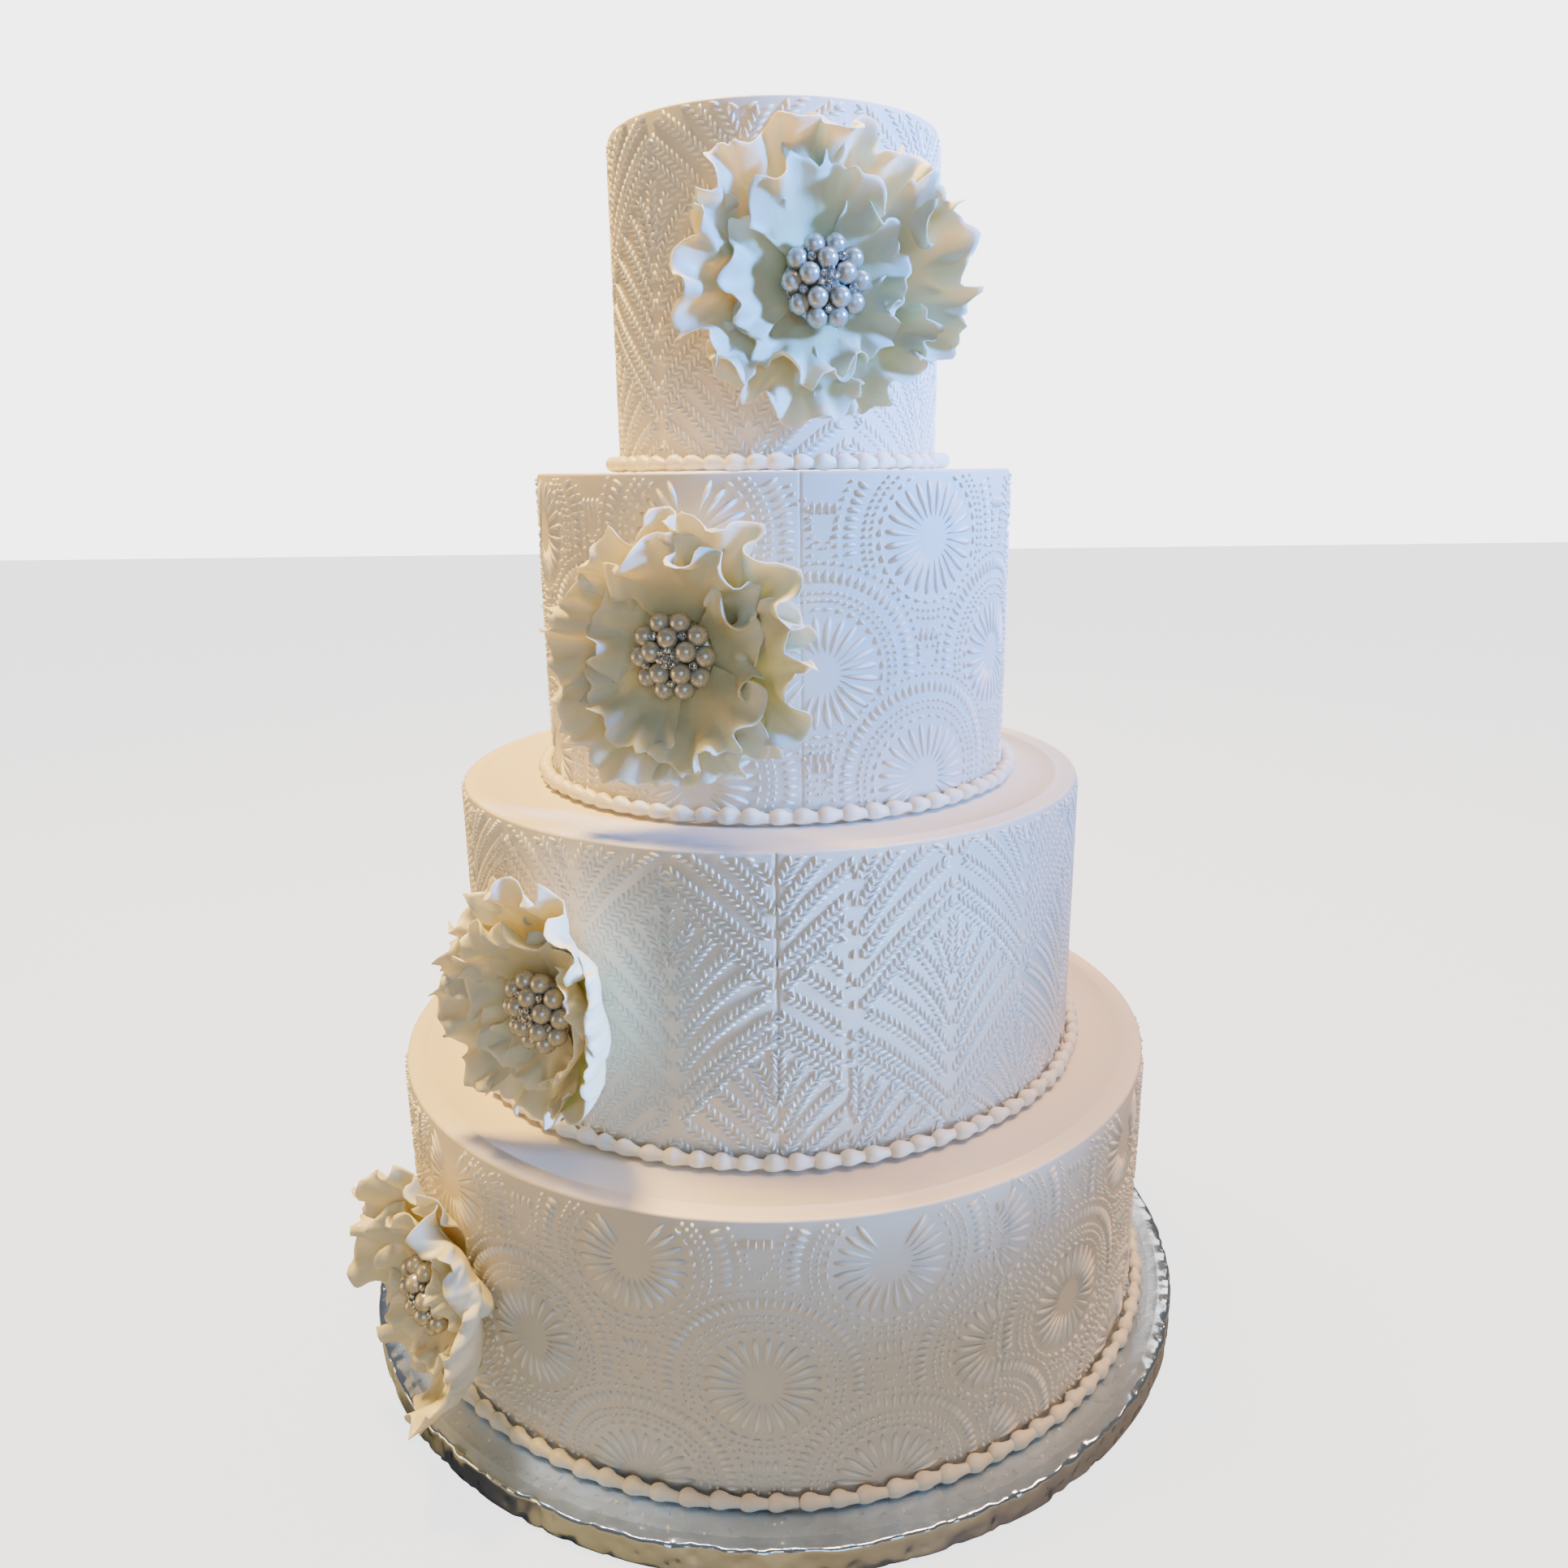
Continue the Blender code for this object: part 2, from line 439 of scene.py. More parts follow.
@dataclass(frozen=True)
class Finish:
    """A finish's name, its main colour and its roughness."""

    name: str
    colour: str
    roughness: float

    def start(self) -> Surface:
        """Starts the material with the main colour all over."""
        return Surface(self.name, self.colour, self.roughness)


@dataclass(frozen=True)
class RolledFondant(Finish):
    """Rolled fondant, pressed with a mat and dusted with starch: soft, matt and faintly waxy."""

    tint: str = "#ECE3D6"

    def make(self) -> Material:
        """Builds the material: starch mottling a hand wide, and a fine powdery grain.

        Returns:
            The material.
        """
        skin = self.start()
        dents = skin.bump(skin.noise(14 * MM, 2), 0.35 * MM)
        # Real starch grain is far below a pixel, so it is drawn 0.8 mm wide
        grain = skin.noise(0.8 * MM, 4)
        return skin.dress({
            "Base Color": skin.blend(skin.noise(45 * MM), 0.35, 0.7, self.colour, self.tint),
            "Normal": skin.bump(grain, 0.06 * MM, dents),
            "Subsurface Weight": 0.06,
            "Subsurface Radius": (1.0, 0.75, 0.5),
            "Subsurface Scale": 1.0 * MM,
            "Sheen Weight": 0.15,
            "IOR": SUGAR_IOR,
        })


@dataclass(frozen=True)
class RoyalIcing(Finish):
    """Royal icing, piped and set: smooth and slightly creamy, with a low shine on its bulbs."""

    tint: str = "#EAE2D0"

    def make(self) -> Material:
        """Builds the material: creamier patches from bead to bead and a fine crust."""
        crust = self.start()
        return crust.dress({
            "Base Color": crust.blend(crust.noise(12 * MM), 0.4, 0.7, self.colour, self.tint),
            "Normal": crust.bump(crust.noise(1.2 * MM), 0.08 * MM),
            "Subsurface Weight": 0.15,
            "Subsurface Scale": 2.0 * MM,
            "IOR": SUGAR_IOR,
        })


@dataclass(frozen=True)
class SugarPaste(Finish):
    """Flower paste, rolled thin and frilled: satin, and light comes warm through its folds."""

    # The heart's colour is painted shade, darker and creamier towards the root; the rim's colour is painted
    # light, paler at the thin edge
    heart: str = "#CEC395"
    rim: str = "#EFEBD4"

    def make(self) -> Material:
        """Builds the material: creamier and darker at the heart as painted shade, paler at the thin rim as
        painted light through the thin paste, with veins.

        Returns:
            The material.
        """
        skin = self.start()
        share = skin.attribute("reach")
        # Painted shade towards the heart, painted light at the thin rim
        inner = skin.blend(share, 0.1, 0.55, self.heart, self.colour)
        outer = skin.blend(share, 0.6, 1.0, self.colour, self.rim)
        crease = skin.bump(skin.noise(9 * MM, 2), 0.5 * MM)
        return skin.dress({
            "Base Color": skin.mixed(skin.ranged(share, 0.5, 0.6, 0.0, 1.0), inner, outer),
            "Roughness": skin.ranged(skin.noise(20 * MM), 0.0, 1.0, 0.36, 0.58),
            "Normal": skin.bump(skin.noise(1.5 * MM), 0.05 * MM, crease),
            "Subsurface Weight": 0.35,
            "Subsurface Radius": (1.0, 0.72, 0.32),
            "Subsurface Scale": 3.0 * MM,
            "IOR": SUGAR_IOR,
        })


@dataclass(frozen=True)
class PearlLustre(Finish):
    """Glass pearl with a nacre coat: champagne silver, soft deep lustre under a clear shine, its limb
    darkened with painted shade.
    """

    # The colour of the painted shade at the pearl's limb
    shade: str = "#77736A"

    def make(self) -> Material:
        """Builds the material: painted shade that darkens the limb where the surface turns from the view,
        cloudy nacre and a clear coat.

        Returns:
            The material.
        """
        pearl = self.start()
        # Painted shade: the colour darkens towards the limb, by how far the surface faces away from the view
        limb = add(pearl.tree, "ShaderNodeLayerWeight", {"Blend": 0.35}).outputs["Facing"]
        return pearl.dress({
            "Base Color": pearl.blend(limb, 0.2, 0.95, self.colour, self.shade),
            "Roughness": pearl.ranged(pearl.noise(2.5 * MM), 0.0, 1.0, 0.2, 0.36),
            "Metallic": 0.4,
            "Coat Weight": 0.8,
            "Coat Roughness": 0.06,
        })


@dataclass(frozen=True)
class CutStone(Finish):
    """Foil-backed cut glass: each facet throws back light like a small mirror."""

    shade: str = "#8E96A4"

    def make(self) -> Material:
        """Builds the material: mirror facets, slightly uneven in brightness from stone to stone."""
        stone = self.start()
        return stone.dress({
            "Base Color": stone.blend(stone.noise(1.0 * MM, 0), 0.35, 0.65, self.shade, self.colour),
            "Metallic": 0.85,
            "Coat Weight": 1.0,
            "Coat Roughness": 0.02,
        })


@dataclass(frozen=True)
class SilverSetting(Finish):
    """Rhodium-plated brooch metal: dark in its gaps and bright on its rims, the dark being painted shade in
    its small pits.
    """

    # The colour of the painted shade in the pits
    shade: str = "#6E6A66"

    def make(self) -> Material:
        """Builds the material: cast metal with small pits, painted darker as painted shade.

        Returns:
            The material.
        """
        metal = self.start()
        pits = metal.noise(0.9 * MM)
        return metal.dress({
            # Painted shade: the colour darkens where the pits dip
            "Base Color": metal.blend(pits, 0.3, 0.7, self.shade, self.colour),
            "Normal": metal.bump(pits, 0.1 * MM),
            "Metallic": 1.0,
        })


@dataclass(frozen=True)
class SilverFoil(Finish):
    """Embossed silver foil, pasted round a board: satin on top, crinkled and bright at the edge."""

    wear: str = "#C2CEDC"
    leaf: float = 8 * MM

    def make(self) -> Material:
        """Builds the material: an embossed leaf pattern 8 mm wide, and crinkles along the edge.

        Returns:
            The material.
        """
        foil = self.start()
        edge = foil.attribute("edge")
        leaves = {"Vector": foil.where, "Scale": 1 / self.leaf}
        cells = add(foil.tree, "ShaderNodeTexVoronoi", leaves, feature="SMOOTH_F1").outputs["Distance"]
        deep = add(foil.tree, "ShaderNodeMath", {0: cells, 1: edge}, operation="MULTIPLY").outputs[0]
        glints = foil.ranged(foil.noise(3.5 * MM, 4), 0.58, 0.7, self.roughness, 0.22)
        return foil.dress({
            "Base Color": foil.blend(foil.noise(60 * MM), 0.3, 0.7, self.colour, self.wear),
            "Roughness": foil.ranged(edge, 0.0, 1.0, glints, 0.16),
            "Normal": foil.bump(foil.noise(2.4 * MM, 3), 0.1 * MM, foil.bump(deep, 2.4 * MM)),
            "Metallic": 1.0,
        })


FONDANT = RolledFondant("rolled_fondant", "#EBE5DB", 0.58)
# The marks' copy of the fondant is painted lighter: painted light that makes the raised marks read brighter
# than the wall
PRESSED_PAINTED_LIGHTER = RolledFondant("pressed_fondant", "#FCFAF6", 0.48, "#F9F5ED")
ICING = RoyalIcing("royal_icing", "#F4F0E6", 0.42)
PASTE = SugarPaste("flower_paste", "#E2D8B0", 0.45)
PEARL = PearlLustre("nacre_coated_pearl", "#C9C4B6", 0.25)
STONE = CutStone("foil_backed_cut_glass", "#F4F6FA", 0.04)
SETTING = SilverSetting("rhodium_plated_brass", "#C9C6C0", 0.28)
FOIL = SilverFoil("embossed_silver_foil", "#DAEAFF", 0.3)


# Shapes that are repeated hundreds of times
# How far a mark's foot is sunk into the wall, as a share of its height
SUNK = 0.25


def dome(outline: list, shelf: float, lift: float) -> tuple:
    """A low closed cushion over an outline, for raised marks.

    Args:
        outline: The outline's points, going round to the left.
        shelf: The top's size as a share of the outline.
        lift: The top's height.

    Returns:
        The points and the faces.
    """
    verts = [(x, y, -SUNK) for x, y in outline] + [(x * shelf, y * shelf, lift) for x, y in outline]
    return verts, tube_faces(2, len(outline))


def round_outline(count: int, turn: float = 0.0) -> list:
    """A round outline of radius one, turned by a share of the step between its points."""
    bearings = [TAU * (k + turn) / count for k in range(count)]
    return [(math.cos(a), math.sin(a)) for a in bearings]


SPINDLE_OUTLINE = [(-1, 0), (-0.4, -0.45), (0.2, -0.9), (0.6, -1), (0.9, -0.6),
                   (1, 0), (0.9, 0.6), (0.6, 1), (0.2, 0.9), (-0.4, 0.45)]


def leaflet() -> tuple:
    """A blunt leaf with a low ridge, one long and one wide each way from its middle.

    Returns:
        The points and the faces.
    """
    rim = [(-1, -0.35), (-0.55, -1), (0.45, -0.95), (1, 0), (0.45, 0.95), (-0.55, 1), (-1, 0.35)]
    verts = [(x, y, -SUNK) for x, y in rim] + [(-0.65, 0, 1.0), (0.6, 0, 0.95)]
    faces = [(6, 5, 4, 3, 2, 1, 0), (0, 1, 7), (1, 2, 8, 7), (2, 3, 8)]
    faces += [(3, 4, 8), (4, 5, 7, 8), (5, 6, 7), (6, 0, 7)]
    return verts, faces


class Mark(Enum):
    """The kinds of raised mark, by the number of their shape."""

    DOT = 0
    SPINDLE = 1
    LEAFLET = 2


@dataclass(frozen=True)
class Stamps:
    """A Geometry Nodes tree that stands small shapes on points, and the shapes that it uses."""

    # What each point holds for the shape that stands on it
    HELD: ClassVar[dict] = {"turn": "FLOAT_VECTOR", "span": "FLOAT_VECTOR", "kind": "INT"}

    name: str
    shapes: tuple
    unevenness: float = 0.0
    seed: int = 7

    def tree(self) -> Tree:
        """Builds the tree.

        Returns:
            The tree, with inputs for the size, its unevenness, its seed, the finish and the shapes.
        """
        tree = bpy.data.node_groups.new(self.name, "GeometryNodeTree")
        face = tree.interface
        face.new_socket("Points", in_out="INPUT", socket_type="NodeSocketGeometry")
        kinds = {"Size": "Float", "Unevenness": "Float", "Seed": "Int", "Finish": "Material"}
        for name, kind in kinds.items():
            face.new_socket(name, in_out="INPUT", socket_type="NodeSocket" + kind)
        for number in range(len(self.shapes)):
            face.new_socket(f"Shape {number}", in_out="INPUT", socket_type="NodeSocketObject")
        face.new_socket("Geometry", in_out="OUTPUT", socket_type="NodeSocketGeometry")
        given = add(tree, "NodeGroupInput").outputs
        turn, span, kind = (
            add(tree, "GeometryNodeInputNamedAttribute", {"Name": name}, data_type=held).outputs["Attribute"]
            for name, held in self.HELD.items()
        )
        slack = {0: 1.0, 1: given["Unevenness"]}
        least = add(tree, "ShaderNodeMath", slack, operation="SUBTRACT").outputs[0]
        most = add(tree, "ShaderNodeMath", slack).outputs[0]
        chance = add(tree, "FunctionNodeRandomValue", {2: least, 3: most, "Seed": given["Seed"]}).outputs[1]
        size = add(tree, "ShaderNodeMath", {0: given["Size"], 1: chance}, operation="MULTIPLY").outputs[0]
        scale = add(tree, "ShaderNodeVectorMath", {0: span, "Scale": size}, operation="SCALE").outputs[0]
        rotation = add(tree, "FunctionNodeEulerToRotation", {0: turn}).outputs[0]
        joined = add(tree, "GeometryNodeJoinGeometry")
        for number in range(len(self.shapes)):
            shape = add(tree, "GeometryNodeObjectInfo", {"Object": given[f"Shape {number}"]})
            both = {2: kind, 3: number}
            chosen = add(tree, "FunctionNodeCompare", both, data_type="INT", operation="EQUAL")
            stood = add(tree, "GeometryNodeInstanceOnPoints", {
                "Points": given["Points"],
                "Selection": chosen.outputs[0],
                "Instance": shape.outputs["Geometry"],
                "Rotation": rotation,
                "Scale": scale,
            })
            tree.links.new(stood.outputs[0], joined.inputs[0])
        real = add(tree, "GeometryNodeRealizeInstances", {0: joined.outputs[0]})
        made = {"Geometry": real.outputs[0], "Material": given["Finish"]}
        add(tree, "NodeGroupOutput", {0: add(tree, "GeometryNodeSetMaterial", made).outputs[0]})
        return tree

    def stand(
        self,
        name: str,
        points: np.ndarray,
        turns: np.ndarray,
        spans: np.ndarray,
        finish: Material,
        kinds: np.ndarray | None = None,
        smooth: bool = True,
    ) -> Object:
        """Stands the shapes on the points.

        Args:
            name: The new object's name.
            points: The places.
            turns: The Euler turn at each place.
            spans: The size along each axis at each place.
            finish: The material.
            kinds: The number of the shape at each place, the first shape's if left out.
            smooth: Whether the shapes are shaded smooth.

        Returns:
            One object with a plain mesh.
        """
        piece = mesh_object(name, points, [])
        if kinds is None:
            kinds = np.zeros(len(points), dtype=int)
        held = {"turn": turns, "span": spans, "kind": kinds}
        for label, values in held.items():
            layer = piece.data.attributes.new(label, self.HELD[label], "POINT")
            layer.data.foreach_set("value" if values is kinds else "vector", np.ravel(values))
        tree = self.tree()
        shapes = {f"Shape {number}": mesh_object(f"{name}_shape_{number}", *shape, smooth)
                  for number, shape in enumerate(self.shapes)}
        given = {"Size": 1.0, "Unevenness": self.unevenness, "Seed": self.seed, "Finish": finish, **shapes}
        modifier = piece.modifiers.new("stamps", "NODES")
        modifier.node_group = tree
        for socket in tree.interface.items_tree:
            if socket.in_out == "INPUT" and socket.name in given:
                modifier[socket.identifier] = given[socket.name]
        bpy.context.view_layer.update()
        graph = bpy.context.evaluated_depsgraph_get()
        real = bpy.data.meshes.new_from_object(piece.evaluated_get(graph))
        piece.modifiers.clear()
        piece.data = real
        for label in held:
            if label in real.attributes:
                real.attributes.remove(real.attributes[label])
        for shape in shapes.values():
            bpy.data.objects.remove(shape)
        bpy.data.node_groups.remove(tree)
        return piece


# Pressed patterns, with their sizes in millimetres
# Rings of a sunburst: number of marks, reach, length, width, kind, and whether they lie along the ring
SUNBURST_RINGS = (
    (24, 16.2, 17.5, 3.0, Mark.SPINDLE, False),
    (32, 26.9, 4.2, 1.7, Mark.DOT, True),
    (64, 30.6, 2.0, 1.8, Mark.DOT, True),
    (72, 33.7, 2.0, 1.8, Mark.DOT, True),
    (72, 40.0, 6.6, 2.1, Mark.DOT, False),
    (76, 45.6, 2.1, 1.9, Mark.DOT, True),
)
SUNBURST_REACH = 47.0
# Leaflets: the step from pair to pair, and their size, their angle to the stem and their gap from it
LEAF_PITCH = 3.1
LEAF_LENGTH = 4.9
LEAF_WIDTH = 1.85
LEAF_ANGLE = math.radians(41)
LEAF_GAP = 0.25
# A fern, from the point of its inner arch: height and bend of each arch, how far out and in they run,
# the tips of the fan's fronds, the first one's foot, the step to the next and the upright frond's ends
ARCHES = ((0.0, 0.0066), (8.6, 0.0052))
ARCH_SLOPE = 0.70
ARCH_RUN = (44.0, 0.8)
FAN_TIPS = ((9.2, -13.7), (17.2, -19.7), (26.0, -25.7), (34.0, -33.4), (39.6, -43.7))
FAN_FOOT = (0.9, -36.0)
FAN_STEP = 11.6
FAN_BEND = (0.36, 0.60)
UPRIGHT_RUN = (-31.0, -7.7)


def marks(rows: list) -> np.ndarray:
    """Turns rows in millimetres into an array in metres.

    Args:
        rows: Rows of x, y, spin, length, width and kind.

    Returns:
        The same rows, with all but spin and kind in metres.
    """
    made = np.array(rows, dtype=float)
    made[:, [0, 1, 3, 4]] *= MM
    return made


def sunburst() -> np.ndarray:
    """One sunburst disc: long petals, a dashed ring, rings of dots and a ring of dashes.

    Returns:
        Rows of x, y, spin, length, width and kind.
    """
    rows = []
    for count, reach, length, width, kind, along in SUNBURST_RINGS:
        for k in range(count):
            bearing = TAU * (k + 0.5) / count
            spin = bearing + (math.pi / 2 if along else 0.0)
            place = (reach * math.cos(bearing), reach * math.sin(bearing))
            rows.append((*place, spin, length, width, kind.value))
    return marks(rows)


def filler() -> np.ndarray:
    """The small motif in the gap between two discs of a row: dashes over a smooth square.

    Returns:
        Rows of x, y, spin, length, width and kind.
    """
    dot = Mark.DOT.value
    outline = ((5.4, 8.0), (5.4, 5.0), (4.4, 2.2), (2.4, -0.2), (0.8, -2.6))
    rows = [(x, 13.0, math.pi / 2, 6.0, 1.6, dot) for x in (-4.6, -1.5, 1.5, 4.6)]
    rows += [(side * x, y, 0.0, 1.5, 1.5, dot) for side in (-1, 1) for x, y in outline]
    return marks(rows)


def frond(points: np.ndarray) -> list:
    """Leaflet pairs along a stem that runs from its foot to its tip, and one leaflet on the tip.

    Args:
        points: The stem's points in millimetres, close together.

    Returns:
        Rows of x, y, spin, length, width and kind.
    """
    steps = np.hypot(*np.diff(points, axis=0).T)
    length = np.concatenate([[0], np.cumsum(steps)])
    rows = []
    leaf = (LEAF_LENGTH, LEAF_WIDTH, Mark.LEAFLET.value)
    reach = LEAF_GAP + LEAF_LENGTH / 2
    for k in range(int(length[-1] / LEAF_PITCH)):
        # The first pair stands nine tenths of a step below the tip
        along = length[-1] - LEAF_PITCH * (k + 0.9)
        x, y = (np.interp(along, length, points[:, axis]) for axis in (0, 1))
        ahead_x, ahead_y = (np.interp(along + 1.0, length, points[:, axis]) for axis in (0, 1))
        heading = math.atan2(ahead_y - y, ahead_x - x)
        for side in (-1, 1):
            spin = heading + side * LEAF_ANGLE
            place = (x + reach * math.cos(spin), y + reach * math.sin(spin))
            rows.append((*place, spin, *leaf))
    heading = math.atan2(*(points[-1] - points[-4])[::-1])
    tip = points[-1] - 0.5 * np.array([math.cos(heading), math.sin(heading)])
    rows.append((*tip, heading, *leaf))
    return rows


def fern() -> np.ndarray:
    """One fern motif about the point of its inner arch: two arches and a fan of fronds.

    Returns:
        Rows of x, y, spin, length, width and kind.
    """
    rows = []
    out = np.linspace(*ARCH_RUN, 80)
    t = np.linspace(0, 1, 60)[:, None]
    for side in (-1, 1):
        for apex, bend in ARCHES:
            rows += frond(np.stack([side * out, apex - ARCH_SLOPE * out - bend * out**2], axis=1))
        for n, tip in enumerate(FAN_TIPS):
            foot = np.array([FAN_FOOT[0], FAN_FOOT[1] - FAN_STEP * n])
            end = np.array(tip)
            middle = foot + (end - foot) * FAN_BEND
            stem = (1 - t) ** 2 * foot + 2 * t * (1 - t) * middle + t**2 * end
            rows += frond(stem * (side, 1))
    rows += frond(np.stack([np.zeros(40), np.linspace(*UPRIGHT_RUN, 40)], axis=1))
    return marks(rows)


# Tiers
@dataclass
class CoveredTier:
    """A cake under rolled fondant: the smooth covering, the raised pattern and the piped border."""

    number: int
    tier: Tier
    foot: float
    relief: float = 1.15 * MM
    edge: float = 1.2 * MM
    columns: int = 288
    wall_rows: int = 16
    seam_ring: float = 10.0 * MM
    dip: float = 0.35 * MM
    # The wall's waves and the joints of its sheet go inwards, and the top sags a little
    waves: float = 0.22 * MM
    seam_depth: float = 0.5 * MM
    seam_width: float = 0.45 * MM
    most_inward: float = 0.9 * MM
    sag: float = 0.2 * MM
    # How far the marks are sunk, where the lowest may stand, and how near the edge the uppermost end
    sink: float = 0.2 * MM
    lowest: float = 3.5 * MM
    ragged: tuple = (0.4, 1.2)
    # How far out the drops' ring lies, and the radius in millimetres of the thickest drop
    bead_lift: float = 4 * MM
    bead_thickness: float = 3.85

    def covering(self, finish: Material) -> Object:
        """Builds the smooth covering, with its hand-smoothed waves, its seams and its top ring.

        Args:
            finish: The fondant.

        Returns:
            The piece.
        """
        t = self.tier
        wall = t.radius - self.relief
        top = self.foot + t.height
        profile = [(wall, self.foot)]
        profile += [(wall, self.foot + t.height * k / self.wall_rows - self.edge / 2)
                    for k in range(1, self.wall_rows)]
        profile += rounding(wall, top, self.edge, 6)
        # The shallow ring on the top: how far in from the wall and how high, in millimetres
        inset = self.seam_ring / MM
        ring = ((3.2, -0.1), (inset - 1.5, -0.45), (inset - 0.5, 0.3), (inset + 0.2, 0.3),
                (inset + 1.0, -0.5))
        profile += [(wall - x * MM, top - self.dip + z * MM) for x, z in ring]
        profile += [(share * wall, top - 0.6 * MM) for share in (0.8, 0.6, 0.4, 0.2)]
        bearings = np.linspace(0, TAU, self.columns, endpoint=False)
        # More columns where a seam bends the wall
        close = (-2.0, -0.7, -0.2, 0.2, 0.7, 2.0)
        near = [(seam + off) * MM / wall for seam in t.seams for off in close]
        bearings = np.unique(np.round(np.concatenate([bearings, np.mod(near, TAU)]), 6))
        verts, faces = lathe(profile, bearings, t.shift)
        made = mesh_object(f"tier_{self.number}_covering", self.waved(verts, wall), faces)
        made.data.materials.append(finish)
        return made

    def waved(self, verts: np.ndarray, wall: float) -> np.ndarray:
        """Gives the covering slight waves and the seams of its wall.

        Args:
            verts: The lathed points.
            wall: The wall's radius.

        Returns:
            The points, none further out than before.
        """
        t = self.tier
        x, y = verts[:, 0] - t.shift, verts[:, 1]
        radius, bearing = np.hypot(x, y), np.arctan2(x, -y)
        height = (verts[:, 2] - self.foot) / t.height
        rng = np.random.default_rng(40 + self.number)
        wave = np.zeros(len(verts))
        for k in (2, 3, 5, 8):
            a, b = rng.uniform(0, TAU, 2)
            wave += np.sin(k * bearing + a) * np.cos(1.6 * k * height + b) / k
        inward = self.waves * (1 + wave / 1.2)
        for seam in t.seams:
            off = (bearing * wall - seam * MM + math.pi * wall) % (TAU * wall) - math.pi * wall
            inward += self.seam_depth * np.exp(-((off / self.seam_width) ** 2))
        # 1 on the wall above its foot, fading out over the outer eighth of the top
        onwall = np.clip(radius / wall * 8 - 7, 0, 1) * (height > 0.002)
        shrink = 1 - np.clip(inward, 0, self.most_inward) * onwall / np.maximum(radius, MM)
        verts[:, 0] = t.shift + x * shrink
        verts[:, 1] = y * shrink
        sagging = (1 - onwall) * (height > 0.9)
        verts[:, 2] -= sagging * self.sag * np.clip(1 + wave / 1.5, 0, 2)
        return verts

    def placed(self) -> np.ndarray:
        """Lays the motifs on the wall's panels.

        Returns:
            Rows of arc, height, spin, length, width and kind.
        """
        t = self.tier
        discs = t.pattern is Pattern.SUNBURST
        motif = sunburst() if discs else fern()
        # A motif reaches past its centre, so some that are centred outside a panel count too
        margin = 60 * MM
        laid = []
        for panel in t.panels:
            rows = [(height * MM, arc * MM) for height, arc in panel.rows]
            for number, (height, arc) in enumerate(rows):
                for k in range(-16, 17):
                    centre = arc + k * t.spacing
                    if not panel.start - margin < centre < panel.end + margin:
                        continue
                    one = motif + np.array([centre, height, 0, 0, 0, 0])
                    if discs:
                        extra = filler() + np.array([centre + t.spacing / 2, height, 0, 0, 0, 0])
                        one = self.uncovered(np.vstack([one, extra]), rows[number + 1 :])
                    laid.append(one[(one[:, 0] > panel.start + MM) & (one[:, 0] < panel.end - MM)])
        rows = np.vstack(laid)
        spare = np.random.default_rng(self.number).uniform(*self.ragged, len(rows)) * MM
        up = np.abs(rows[:, 3] / 2 * np.sin(rows[:, 2])) + rows[:, 4] / 2 * np.abs(np.cos(rows[:, 2]))
        return rows[(rows[:, 1] > self.lowest) & (rows[:, 1] + up < t.height - spare)]

    def uncovered(self, one: np.ndarray, lower: list) -> np.ndarray:
        """Takes out what the discs of the lower rows cover.

        Args:
            one: The marks of a motif.
            lower: Height and arc of one disc of each lower row.

        Returns:
            The marks that are left.
        """
        pitch = self.tier.spacing
        keep = np.ones(len(one), dtype=bool)
        for height, arc in lower:
            off = (one[:, 0] - arc + pitch / 2) % pitch - pitch / 2
            keep &= np.hypot(off, one[:, 1] - height) > (SUNBURST_REACH + 0.6) * MM
        return one[keep]

    def pattern(self, finish: Material) -> Object:
        """Builds the raised pattern of the wall.

        Args:
            finish: The fondant.

        Returns:
            The piece.
        """
        t = self.tier
        arc, height, spin, length, width, kind = self.placed().T
        wall = t.radius - self.relief - self.sink
        bearing = arc / wall
        across, along = wall * np.sin(bearing), -wall * np.cos(bearing)
        points = np.stack([t.shift + across, along, self.foot + height], axis=1)
        # Euler angles turn a mark by no more than a right angle, so the others stand upside down
        spin = np.mod(spin + math.pi / 2, TAU) - math.pi / 2
        back = spin > math.pi / 2
        pitch, roll = np.where(back, -math.pi / 2, math.pi / 2), np.where(back, spin - math.pi, -spin)
        turns = np.stack([pitch, roll, bearing + back * math.pi], axis=1)
        # The long petals of a sunburst are pressed less deep than the small marks
        rise = np.where(kind == Mark.SPINDLE.value, 0.85, 1.0) * (self.relief + self.sink / 2)
        spans = np.stack([length / 2, width / 2, rise], axis=1)
        dot = dome(round_outline(6), shelf=0.42, lift=1.0)
        spindle = dome(SPINDLE_OUTLINE, shelf=0.36, lift=1.0)
        stamps = Stamps("pressed_marks", (dot, spindle, leaflet()))
        name = f"tier_{self.number}_pattern"
        return stamps.stand(name, points, turns, spans, finish, kind.astype(int))

    def bead(self) -> tuple:
        """One piped drop: a round bulb whose tail thins and slips under the next bulb.

        Returns:
            The points and the faces, with the drop along X.
        """
        # Place and radius of each ring in millimetres, and the drop lies on the surface under it
        pitch = TAU * (self.tier.radius + self.bead_lift) / self.tier.beads / MM
        along = np.array([-4.6, -4.4, -4.0, -3.2, -2.0, -0.6, 0.9, 2.6, 4.2, 0.5 * pitch + 0.9, pitch - 2.4])
        thick = np.array([0.3, 1.15, 1.95, 2.8, 3.45, 3.8, 3.82, 3.4, 2.75, 2.3, 2.1])[:, None]
        sides = 12
        around = np.linspace(0, TAU, sides, endpoint=False)
        x = np.repeat(along[:, None], sides, axis=1)
        y = thick * np.cos(around)
        z = thick * np.sin(around) - (self.bead_thickness - thick) * 0.35
        verts = np.stack([x, y, z], axis=-1).reshape(-1, 3) * MM
        return verts, tube_faces(len(along), sides)

    def border(self, finish: Material) -> Object:
        """Builds the piped border.

        Args:
            finish: The icing.

        Returns:
            The piece.
        """
        t = self.tier
